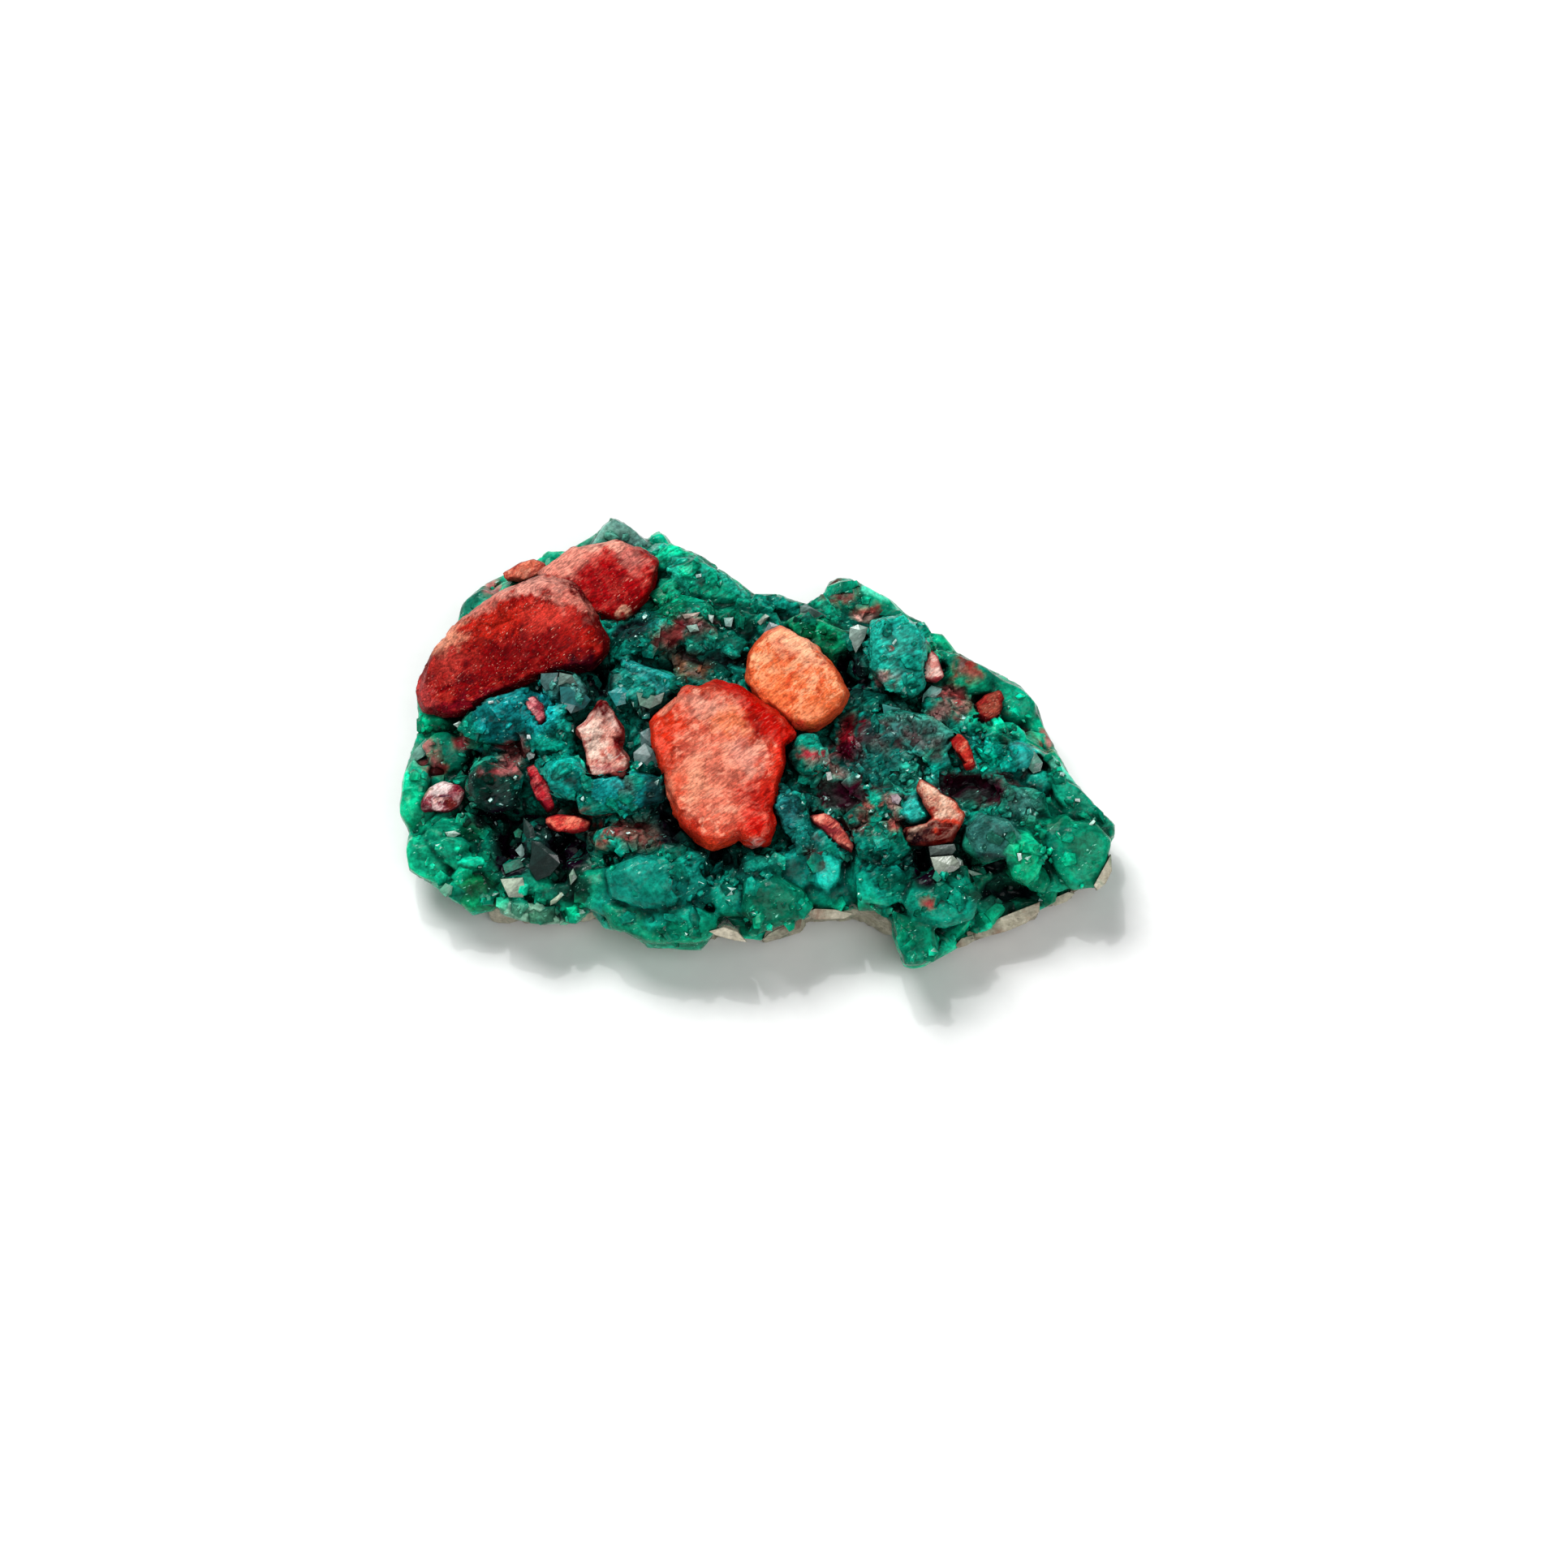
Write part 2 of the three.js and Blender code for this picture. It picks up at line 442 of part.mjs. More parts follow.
// The crust between its crystals: a coarse mound, with a skirt that follows the outline closely.
function bedSolid(random) {
  const uneven = (point) => crustHeight(point) - BED_SINK + BED_UNEVENNESS * (random() - 0.5);
  const crown = new THREE.Vector3(0, 0, crustHeight(new THREE.Vector3()));
  const middle = new THREE.Vector3(0, 0, CRUST_UNDERSIDE);
  const coarseRim = everyNth(RIM, 3);
  const mound = [0.3, 0.6, 0.82, 0.95].map((share) => ringAt(coarseRim, share, uneven));
  mound.push(ringAt(coarseRim, ROCK_INSET, () => CRUST_UNDERSIDE));
  const skirt = [
    ringAt(RIM, 0.84, (point) => crustHeight(point) - 0.8),
    ringAt(RIM, 1, () => RIM_HEIGHT + 0.6 * (random() - 0.5)),
    ringAt(RIM, 0.97, () => CRUST_UNDERSIDE + 1.2 + 0.6 * (random() - 0.5)),
    ringAt(RIM, ROCK_INSET - 0.02, () => CRUST_UNDERSIDE),
  ];
  const inside = new THREE.Vector3(0, 0, RIM_HEIGHT + 1);
  return solidOf(ringGeometry(crown, mound, middle)).add(solidOf(ringGeometry(inside, skirt, middle)));
}

// Smaller crystals between the others, and on the flank that faces away.
function druseSolids(random) {
  const solids = [];
  const flank = RIM.filter((rim, i) => rim.y > 0 && i % 2);
  for (const rim of flank) {
    const middle = new THREE.Vector3(rim.x * 0.89, rim.y * 0.89, 3.6 + 1.2 * random());
    const axis = new THREE.Vector3(rim.x, rim.y, 12).normalize();
    solids.push(crystalSolid(middle, axis, random() * Math.PI, 1.4 + 0.8 * random(), 1.2));
  }
  for (let i = 0; i < DRUSE_COUNT; i += 1) {
    const rim = RIM[Math.floor(random() * RIM.length)];
    const share = 0.4 + 0.45 * Math.sqrt(random());
    const middle = new THREE.Vector3(rim.x * share, rim.y * share, 0);
    middle.z = crustHeight(middle) - BED_SINK;
    const axis = crustNormal(middle).add(new THREE.Vector3(random() - 0.5, random() - 0.5, 0)).normalize();
    solids.push(crystalSolid(middle, axis, random() * Math.PI, 1.1 + random(), 1.4));
  }
  return solids;
}

function crustSolid() {
  const random = randomSource(11);
  const mound = bedSolid(random);
  const hollows = HOLLOWS.map((hollow) => hollowSolid(hollow, random));
  const bed = wasm.Manifold.difference([mound, ...hollows]);
  const crystals = [...RIM_CRYSTALS, ...INNER_CRYSTALS].map((crystal) => crystalOnCrust(crystal, random));
  return wasm.Manifold.union([bed, ...crystals, ...druseSolids(random)]).asOriginal().simplify(FINEST);
}

// ---------------------------------------------------------------- the rock

// The host rock, grown by a margin where it cuts the crust's underside.
function rockSolid(margin) {
  const random = randomSource(5);
  const shoulder = CRUST_UNDERSIDE + ROCK_SHOULDER;
  const top = (point) => Math.max(crustHeight(point) - ROCK_COVER, shoulder);
  const rim = everyNth(RIM, 2).map(({ x, y }) => new THREE.Vector3(x, Math.max(y, -ROCK_FRONT), 0));
  const rings = [
    ringAt(rim, 0.3, top),
    ringAt(rim, 0.6, top),
    ringAt(rim, ROCK_INSET, () => shoulder),
    ringAt(rim, ROCK_INSET + 0.02, () => 1.2 + 0.6 * random()),
    ringAt(rim, FOOT_INSET, () => 0),
  ];
  const crown = new THREE.Vector3(0, 0, top(new THREE.Vector3()));
  const body = ringGeometry(crown, rings, new THREE.Vector3(0, 0, 0));
  const stretch = 1 + margin / 18;
  const ledges = LEDGES.map((ledge) => ledgeSolid(ledge, margin, random));
  return wasm.Manifold.union([solidOf(body.scale(stretch, stretch, stretch + margin / 10)), ...ledges]);
}

// A ledge of rock that stands out from under the crust, level with its lower edge as it is seen.
function ledgeSolid([across, up, width, height, rise], margin, random) {
  const points = [];
  for (const side of [-1, -0.3, 0.35, 1]) {
    const reach = (side * width) / 2;
    const level = up + side * rise;
    const front = seenAt(across + reach, level - height / 2 + 0.2 * random(), 1 + 0.4 * random());
    const brow = seenAt(across + reach * 0.92, level + height / 2 - 0.2 * random(), 3);
    points.push(front, brow, new THREE.Vector3(0.94 * (across + reach), front.y + 0.6, 0));
    points.push(new THREE.Vector3(front.x * 0.7, front.y * 0.7, 0));
    points.push(new THREE.Vector3(brow.x * 0.7, brow.y * 0.7, 2.6));
  }
  return hullSolid(points, margin);
}

// What is broken off the crust in front of a ledge, so that the ledge shows.
function breakSolid([across, up, width, height, rise]) {
  const points = [];
  for (const side of [-1, 1]) {
    for (const edge of [-1.6, 1]) {
      const corner = seenAt(across + side * width * 0.46, up + side * rise + (edge * height) / 2, 2);
      points.push(offset(corner, 0, 0, -1), offset(corner, 0, 0, 9));
    }
  }
  return hullSolid(points, 0);
}

// ---------------------------------------------------------------- the calcite

function middleOf(outline) {
  return [0, 1].map((axis) => outline.reduce((sum, corner) => sum + corner[axis], 0) / outline.length);
}

// One plate, a slab that faces the display direction on a root in the crust, grown by a margin where
// it cuts.
function plateSolid({ outline, lift, thickness, root, slope }, margin) {
  const random = randomSource(outline.length * 77);
  const middle = middleOf(outline);
  const seat = onCrust(middle[0], middle[1], lift);
  const ring = (share, forward, unevenness) =>
    outline.map((corner) => {
      const [across, up] = [corner[0] - middle[0], corner[1] - middle[1]];
      const grown = share * (1 + margin / Math.hypot(across, up));
      const lean = across * slope[0] + up * slope[1];
      return offset(seat, across * grown, up * grown, forward + lean + unevenness * (random() - 0.5));
    });
  const half = thickness / 2;
  const rings = PLATE_PROFILE.map(([share, level, ease, unevenness]) =>
    ring(share, half * level + margin * ease, unevenness),
  );
  rings.push(ring(PLATE_ROOT, -half - root - margin, 0));
  const top = offset(seat, 0, 0, half * 1.02 + margin);
  const bottom = offset(seat, 0, 0, -half - root - margin);
  return solidOf(ringGeometry(top, rings, bottom));
}

function wedgeSolid({ at, lift, corners }, margin) {
  const seat = onCrust(at[0], at[1], lift);
  return hullSolid(corners.map((corner) => offset(seat, ...corner)), margin);
}

function calciteColour(name) {
  if (name.startsWith("calcite_blade_left")) return COLOURS.blade;
  return ["calcite_block", "calcite_teardrop"].includes(name) ? COLOURS.pink : COLOURS.orange;
}

// ---------------------------------------------------------------- the specimen

function pieceOf(name, solid, colour, roughness) {
  const looks = { color: colour, roughness, metalness: 0, flatShading: true };
  const material = new THREE.MeshStandardMaterial(looks);
  const mesh = new THREE.Mesh(geometryOf(solid), material);
  mesh.name = name;
  return mesh;
}

function buildSpecimen() {
  const group = new THREE.Group();
  const pockets = [];
  const clear = (solid) => (pockets.length ? wasm.Manifold.difference([solid, ...pockets]) : solid);

  for (const [name, plate] of Object.entries(PLATES)) {
    const body = tidied(clear(plateSolid(plate, 0)));
    group.add(pieceOf(name, body, calciteColour(name), CALCITE_ROUGHNESS));
    pockets.push(plateSolid(plate, CLEARANCE));
  }
  const wedge = tidied(clear(wedgeSolid(WEDGE, 0)));
  group.add(pieceOf("calcite_wedge", wedge, COLOURS.pink, CALCITE_ROUGHNESS));
  pockets.push(wedgeSolid(WEDGE, CLEARANCE));

  group.add(pieceOf("matrix", tidied(clear(rockSolid(0))), COLOURS.rock, 0.9));
  pockets.push(rockSolid(CLEARANCE));

  const below = solidOf(new THREE.BoxGeometry(90, 70, 10).translate(0, 0, CRUST_UNDERSIDE / 2 - 5));
  const crust = wasm.Manifold.difference([clear(crustSolid()), below, ...LEDGES.map(breakSolid)]);
  group.add(pieceOf("dioptase_crust", tidied(crust), COLOURS.dioptase, 0.25));
  return group;
}

export default buildSpecimen();
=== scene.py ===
"""Looks of a dioptase specimen: emerald crust on its matrix, with iron-stained calcite blades.

Everything is worked out in millimetres in the part's own frame and turned into metres when a mesh is made.
A place on the specimen is given as it is displayed: across and down in pixels of a square view of FRAME_PX pixels,
which looks along +Y and 60 degrees down, 15 pixels to a millimetre.

The tables are text, with a row to a line. A word with a comma is a corner of the row's outline, one with a # is a
colour. An oval is its middle, half width, half height and turn in degrees.
"""

import math

import bmesh
import bpy
import numpy as np
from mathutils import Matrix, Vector
from mathutils.bvhtree import BVHTree
from mathutils.kdtree import KDTree


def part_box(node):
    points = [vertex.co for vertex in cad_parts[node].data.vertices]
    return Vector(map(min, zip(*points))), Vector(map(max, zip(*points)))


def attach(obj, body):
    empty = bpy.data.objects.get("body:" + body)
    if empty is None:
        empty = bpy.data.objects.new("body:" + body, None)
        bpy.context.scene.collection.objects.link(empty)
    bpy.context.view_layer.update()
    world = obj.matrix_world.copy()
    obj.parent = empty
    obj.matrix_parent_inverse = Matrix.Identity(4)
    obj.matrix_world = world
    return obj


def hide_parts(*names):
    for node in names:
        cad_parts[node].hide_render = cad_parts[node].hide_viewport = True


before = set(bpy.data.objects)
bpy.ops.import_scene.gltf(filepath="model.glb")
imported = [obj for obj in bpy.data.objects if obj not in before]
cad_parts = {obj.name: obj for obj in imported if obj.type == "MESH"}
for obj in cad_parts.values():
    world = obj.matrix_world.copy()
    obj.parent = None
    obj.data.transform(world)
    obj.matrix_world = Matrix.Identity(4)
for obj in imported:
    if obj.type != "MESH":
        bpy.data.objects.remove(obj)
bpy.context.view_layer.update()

MM = 0.001
PX_PER_MM = 15.0
ELEVATION = math.radians(60)
PX_ORIGIN = (933.0, 913.0)  # the pixel at across 0, up 0
UP_SHIFT = 2.51  # up 0 lies this far above the foot's middle, in the view plane
FRAME_PX = 1932
SPAN_X, SPAN_Y = (480, 1395), (620, 1215)  # the part of the view that the specimen takes up
MIDDLE = (935, 905)
ABOVE_ALL = 60.0  # a level that nothing of the specimen reaches, in mm towards the viewer

RIGHT = np.array([1.0, 0.0, 0.0])
UP = np.array([0.0, math.sin(ELEVATION), math.cos(ELEVATION)])
TOWARD = np.array([0.0, -math.cos(ELEVATION), math.sin(ELEVATION)])


# ---------------------------------------------------------------- numbers

def srgb(code):
    """Linear colour of a web one, such as #18786e."""
    def linear(value):
        value /= 255
        return value / 12.92 if value <= 0.04045 else ((value + 0.055) / 1.055) ** 2.4
    return np.array([linear(int(code[i:i + 2], 16)) for i in (1, 3, 5)])


def rows(text):
    """A table's rows: the words, numbers and colours of each in order, then its outline if it has one."""
    made = []
    for line in text.strip().split("\n"):
        row, outline = [], []
        for word in line.split():
            if "," in word:
                outline.append(tuple(float(number) for number in word.split(",")))
            else:
                row.append(srgb(word) if word[0] == "#" else word if word[0].isalpha() else float(word))
        made.append(row + [outline] if outline else row)
    return made


LATTICE_FACTORS = np.array([374761393, 668265263, 1442695041])


def lattice(cell, seed):
    """A repeatable value from -1 to 1 for each lattice cell."""
    mask = np.int64(0xFFFFFFFF)
    value = (cell @ LATTICE_FACTORS + seed * 974634777) & mask
    value = ((value ^ (value >> 13)) * 1274126177) & mask
    return ((value ^ (value >> 16)) & 0xFFFF) / 32767.5 - 1.0


def noise(points, size, seed):
    """Smooth noise from -1 to 1, with lumps of about that size."""
    scaled = points / size
    cell = np.floor(scaled).astype(np.int64)
    part = scaled - cell
    part = part * part * (3 - 2 * part)
    total = np.zeros(len(points))
    for corner in np.ndindex(2, 2, 2):
        x, y, z = (part[:, axis] if far else 1 - part[:, axis] for axis, far in enumerate(corner))
        total += x * y * z * lattice(cell + np.array(corner), seed)
    return total


def layered(points, size, octaves, seed):
    """Noise with finer and fainter noise added, from about -1 to 1."""
    total = np.zeros(len(points))
    share = 0.0
    for octave in range(octaves):
        weight = 0.5 ** octave
        total += weight * noise(points, size * weight, seed + octave * 17)
        share += weight
    return total / share * 1.5


def smooth(low, high, value):
    part = np.clip((value - low) / (high - low), 0, 1)
    return part * part * (3 - 2 * part)


def mixed(first, second, share):
    share = np.asarray(share)[..., None]
    return first * (1 - share) + second * share


def turned(first, second, angle):
    """Two directions turned together."""
    c, s = math.cos(angle), math.sin(angle)
    return first * c + second * s, second * c - first * s


def displayed(points):
    """Across and down of points, in view pixels."""
    across = points @ RIGHT * PX_PER_MM + PX_ORIGIN[0]
    down = PX_ORIGIN[1] - (points @ UP - UP_SHIFT) * PX_PER_MM
    return across, down


def view_point(x, y, toward):
    """The point at a view pixel that lies that far towards the viewer."""
    across = (x - PX_ORIGIN[0]) / PX_PER_MM
    up = (PX_ORIGIN[1] - y) / PX_PER_MM + UP_SHIFT
    return RIGHT * across + UP * up + TOWARD * toward


def patch(x, y, oval, edge):
    """How much each view pixel lies in an oval, with a soft edge."""
    cx, cy, wide, high, turn = oval
    a, b = turned(x - cx, y - cy, math.radians(-turn))
    a, b = a / wide, b / high
    return 1 - smooth(1 - edge, 1 + edge, np.sqrt(a * a + b * b))


def facing_share(normals):
    """From 0 where a surface is turned away from the viewer to 1 where it shows."""
    return smooth(-0.1, 0.35, normals @ TOWARD)


def outer_share(normals):
    """From 0 underneath to 1 on the sides and above."""
    return smooth(-0.5, -0.2, normals[:, 2])


def spread(centre, corner, share):
    """A view pixel moved away from a centre, or towards it, by that share."""
    return [c + (p - c) * share for c, p in zip(centre, corner)]


def risen(centre, corner, right, up):
    """How far a slope, in mm per px to the right and upwards, rises from a centre to a corner."""
    return right * (corner[0] - centre[0]) - up * (corner[1] - centre[1])


def inside_outline(x, y, outline):
    """How far each view pixel lies inside a closed outline, less than 0 outside it."""
    corners = np.array(outline, float)
    within = np.zeros(len(x), bool)
    near = np.full(len(x), 1e9)
    for (ax, ay), (bx, by) in zip(corners, np.roll(corners, -1, axis=0)):
        crosses = (ay > y) != (by > y)
        slope = (bx - ax) / (by - ay if by != ay else 1e-9)
        within ^= crosses & (x < ax + (y - ay) * slope)
        along = np.clip(((x - ax) * (bx - ax) + (y - ay) * (by - ay)) / ((bx - ax) ** 2 + (by - ay) ** 2), 0, 1)
        near = np.minimum(near, np.hypot(x - ax - along * (bx - ax), y - ay - along * (by - ay)))
    return np.where(within, near, -near)


# ---------------------------------------------------------------- meshes

def read(items, key, width, kind=float):
    """A value of each of a mesh's items."""
    flat = np.empty(len(items) * width, dtype=kind)
    items.foreach_get(key, flat)
    return flat.reshape(-1, width)


def points_of(mesh):
    return read(mesh.vertices, "co", 3) / MM


def normals_of(mesh):
    return read(mesh.vertex_normals, "vector", 3)


def put_points(mesh, points):
    """The mesh's new normals, after its points are moved there."""
    mesh.vertices.foreach_set("co", (points * MM).ravel())
    mesh.update()
    return normals_of(mesh)


def mesh_of(name, points, faces):
    mesh = bpy.data.meshes.new(name)
    mesh.from_pydata((np.asarray(points) * MM).tolist(), [], [[int(i) for i in face] for face in faces])
    mesh.update()
    return mesh


def object_of(name, data, *materials):
    made = bpy.data.objects.new(name, data)
    bpy.context.scene.collection.objects.link(made)
    for material in materials:
        data.materials.append(material)
    return made


def modified(name, mesh, kind, **settings):
    """The mesh after a modifier; the mesh itself is used up."""
    helper = object_of(name + "_helper", mesh)
    modifier = helper.modifiers.new("made", kind)
    for key, value in settings.items():
        setattr(modifier, key, value)
    bpy.context.view_layer.update()
    evaluated = helper.evaluated_get(bpy.context.evaluated_depsgraph_get())
    made = bpy.data.meshes.new_from_object(evaluated)
    made.name = name
    bpy.data.objects.remove(helper)
    bpy.data.meshes.remove(mesh)
    return made


def joined(name, meshes):
    """The faces of all these meshes in one."""
    whole = bmesh.new()
    for mesh in meshes:
        whole.from_mesh(mesh)
    made = bpy.data.meshes.new(name)
    whole.to_mesh(made)
    whole.free()
    return made


def remeshed(name, meshes, voxel, most=None):
    """One skin round closed meshes, which may overlap, of no more than that many triangles."""
    skin = modified(name, joined(name + "_parts", meshes), "REMESH", mode="VOXEL", voxel_size=voxel * MM,
                    adaptivity=0)
    triangles = sum(len(face.vertices) - 2 for face in skin.polygons)
    if most is not None and triangles > most:
        skin = modified(name, skin, "DECIMATE", ratio=most / triangles)
    return skin


def relaxed(mesh, values, rounds, share=0.5):
    """Values at a mesh's points averaged with their neighbours' that many times."""
    size = len(values)
    edges = read(mesh.edges, "vertices", 2, np.int64)
    ends = np.concatenate([edges[:, 0], edges[:, 1]])
    others = np.concatenate([edges[:, 1], edges[:, 0]])
    count = np.bincount(ends, minlength=size).astype(float)
    columns = np.array(values, float).reshape(size, -1).T.copy()
    for _ in range(rounds):
        for column in columns:
            column += share * (np.bincount(ends, column[others], size) / count - column)
    return columns.T.reshape(np.shape(values))


def facetted(points, normals, spacing, tilt, reach, seed):
    """How far each point moves along its normal onto the flat face that its patch of surface grew."""
    cell = np.floor(points / spacing + 0.35 * lattice(np.floor(points / spacing).astype(np.int64), seed)[:, None])
    _, first = np.unique(cell.astype(np.int64), axis=0, return_index=True)
    tree = KDTree(len(first))
    for number, index in enumerate(first):
        tree.insert(Vector(points[index]), number)
    tree.balance()
    random = np.random.default_rng(seed)
    faces = normals[first] + random.normal(0, tilt, (len(first), 3))
    faces /= np.linalg.norm(faces, axis=1)[:, None]
    lifts = random.uniform(-0.35, 0.35, len(first)) * reach
    nearest = np.fromiter((tree.find(Vector(p))[1] for p in points), dtype=np.int64, count=len(points))
    face = faces[nearest]
    along = np.einsum("ij,ij->i", points[first][nearest] - points, face)
    lean = np.maximum(np.einsum("ij,ij->i", normals, face), 0.35)
    return np.clip(along / lean + lifts[nearest], -reach, reach)


def solid_tree(meshes):
    """The faces of these meshes, in millimetres, to look for from outside."""
    points, faces = [], []
    for mesh in meshes:
        first = len(points)
        points += [tuple(p) for p in points_of(mesh)]
        faces += [tuple(first + i for i in face.vertices) for face in mesh.polygons]
    return BVHTree.FromPolygons(points, faces)


def seen_level(tree, x, y):
    """How far towards the viewer the tree's surface lies at a view pixel, or None."""
    hit = tree.ray_cast(Vector(view_point(x, y, ABOVE_ALL)), Vector(-TOWARD))[0]
    return None if hit is None else float(np.dot(np.array(hit), TOWARD))


def seen_levels(tree, outline):
    """The levels at an outline's corners and middle, where there are any."""
    levels = [seen_level(tree, *place) for place in [*outline, np.mean(outline, axis=0)]]
    return [level for level in levels if level is not None]


class Blocks:
    """Crystals, each a closed many-sided block, collected into one mesh."""

    root = 1.4  # how far a grown crystal reaches down below its base, in mm

    def __init__(self):
        self.points, self.faces, self.face_block = [], [], []
        self.point_block, self.bases, self.axes, self.tones, self.sharp = [], [], [], [], []

    def add(self, corners, base, axis, tone=None, sharp=False):
        """The convex block round these corners, which stands on base along axis."""
        made = bmesh.new()
        for corner in corners:
            made.verts.new(corner)
        hull = bmesh.ops.convex_hull(made, input=made.verts, use_existing_faces=False)
        spare = {v for v in hull["geom_interior"] + hull["geom_unused"] if isinstance(v, bmesh.types.BMVert)}
        bmesh.ops.delete(made, geom=list(spare), context="VERTS")
        bmesh.ops.dissolve_limit(made, angle_limit=0.06, verts=made.verts, edges=made.edges)
        made.verts.index_update()
        first = len(self.points)
        self.points += [tuple(v.co) for v in made.verts]
        self.faces += [tuple(first + v.index for v in face.verts) for face in made.faces]
        self.point_block += [len(self.bases)] * len(made.verts)
        self.face_block += [len(self.bases)] * len(made.faces)
        made.free()
        for kept, value in ((self.bases, base), (self.axes, axis), (self.tones, tone), (self.sharp, sharp)):
            kept.append(value)

    def grow(self, random, base, axis, across, up, height, corners=6, tilt=0.25, turn=0.0, sharp=True):
        """A crystal that stands on base along axis, with half widths across and up given as vectors."""
        around = np.arange(corners) + random.uniform(-0.28, 0.28, corners)
        angles = turn + around * 2 * math.pi / corners
        reach = random.uniform(0.84, 1.12, corners)
        side = np.outer(np.cos(angles) * reach, across) + np.outer(np.sin(angles) * reach, up)
        lean = random.normal(0, tilt, 2)
        slope = lean[0] * np.cos(angles) + lean[1] * np.sin(angles)
        wide = float(np.linalg.norm(across) + np.linalg.norm(up)) / 2
        shoulder = height * random.uniform(0.35, 0.68, corners) + 0.5 * slope * wide
        tops = int(random.integers(3, 5))
        chosen = random.uniform(0, 2 * math.pi) + np.arange(tops) * 2 * math.pi / tops
        share = random.uniform(0.42, 0.62, tops)
        cap = np.outer(np.cos(chosen) * share, across) + np.outer(np.sin(chosen) * share, up)
        rise = height + (lean[0] * np.cos(chosen) + lean[1] * np.sin(chosen)) * wide * share
        made = [base + cap[i] + axis * rise[i] for i in range(tops)]
        made += [base + side[i] + axis * shoulder[i] for i in range(corners)]
        made += [base + side[i] * 1.04 - axis * self.root for i in range(corners)]
        self.add(held_inside(made, base), base, axis, None, sharp)

    def rise(self, points, block):
        """How far each point lies above its own block's base."""
        return np.einsum("ij,ij->i", points - np.array(self.bases)[block], np.array(self.axes)[block])

    def mesh(self, name):
        return mesh_of(name, np.array(self.points), self.faces)


def add_attribute(mesh, name, values, domain="POINT"):
    """A number or a colour for each point or corner, which the materials read."""
    colours = values.ndim == 2
    if colours:
        values = np.column_stack([values, np.ones(len(values))])
    attribute = mesh.attributes.new(name, "FLOAT_COLOR" if colours else "FLOAT", domain)
    attribute.data.foreach_set("color" if colours else "value", values.astype(np.float32).ravel())


def shade_smooth(mesh, smooth_faces=True):
    mesh.polygons.foreach_set("use_smooth", [smooth_faces] * len(mesh.polygons))
    mesh.update()


# ---------------------------------------------------------------- materials

class Nodes:
    """A short way to write a material's nodes. Sizes are in millimetres."""

    def __init__(self, name):
        self.material = bpy.data.materials.new(name)
        self.material.use_nodes = True
        self.tree = self.material.node_tree
        self.tree.nodes.clear()
        output = self.add("ShaderNodeOutputMaterial")
        self.shader = self.add("ShaderNodeBsdfPrincipled")
        self.feed(output.inputs["Surface"], self.shader.outputs["BSDF"])
        self.place = self.add("ShaderNodeTexCoord").outputs["Object"]

    def add(self, kind, **settings):
        node = self.tree.nodes.new(kind)
        for key, value in settings.items():
            setattr(node, key, value)
        return node

    def feed(self, socket, value):
        """Another node's output or a plain value into a socket."""
        if isinstance(value, bpy.types.NodeSocket):
            self.tree.links.new(value, socket)
        else:
            socket.default_value = (*value, 1) if socket.type == "RGBA" else value

    def set(self, node, output=None, **values):
        for key, value in values.items():
            self.feed(node.inputs[key.replace("_", " ")], value)
        return node.outputs[output] if output else node

    def attribute(self, name, output="Fac"):
        return self.add("ShaderNodeAttribute", attribute_name=name).outputs[output]

    def stretched(self, turn, along, across=1.0):
        """The place, drawn out along fibres that run at that turn from +X."""
        node = self.add("ShaderNodeMapping", vector_type="TEXTURE")
        return self.set(node, "Vector", Rotation=(0, 0, math.radians(turn)), Scale=(along, across, across),
                        Vector=self.place)

    def noise(self, size, detail=3.0, rough=0.55, place=None, warp=0.0):
        """Noise from 0 to 1 with lumps of that size."""
        return self.set(self.add("ShaderNodeTexNoise"), "Fac", Scale=1 / (size * MM), Detail=detail, Roughness=rough,
                        Distortion=warp, Vector=place or self.place)

    def cells(self, size):
        return self.set(self.add("ShaderNodeTexVoronoi"), "Distance", Scale=1 / (size * MM), Vector=self.place)

    def product(self, first, second):
        node = self.add("ShaderNodeMath", operation="MULTIPLY")
        self.feed(node.inputs[0], first)
        self.feed(node.inputs[1], second)
        return node.outputs[0]

    def ramp(self, value, low, high, to_low=0.0, to_high=1.0):
        return self.set(self.add("ShaderNodeMapRange", interpolation_type="SMOOTHSTEP"), "Result", Value=value,
                        From_Min=low, From_Max=high, To_Min=to_low, To_Max=to_high)

    def mix(self, share, first, second, blend="MIX"):
        node = self.add("ShaderNodeMix", data_type="RGBA", blend_type=blend, clamp_factor=True)
        for number, value in ((0, share), (6, first), (7, second)):
            self.feed(node.inputs[number], value)
        return node.outputs[2]

    def times(self, colour, *factors):
        for factor in factors:
            colour = self.mix(1.0, colour, factor, "MULTIPLY")
        return colour

    def bump(self, height, distance, strength=1.0, onto=None):
        node = self.add("ShaderNodeBump")
        if onto is not None:
            self.feed(node.inputs["Normal"], onto)
        return self.set(node, "Normal", Strength=strength, Distance=distance * MM, Height=height)

    def finish(self, **values):
        self.set(self.shader, **values)
        return self.material


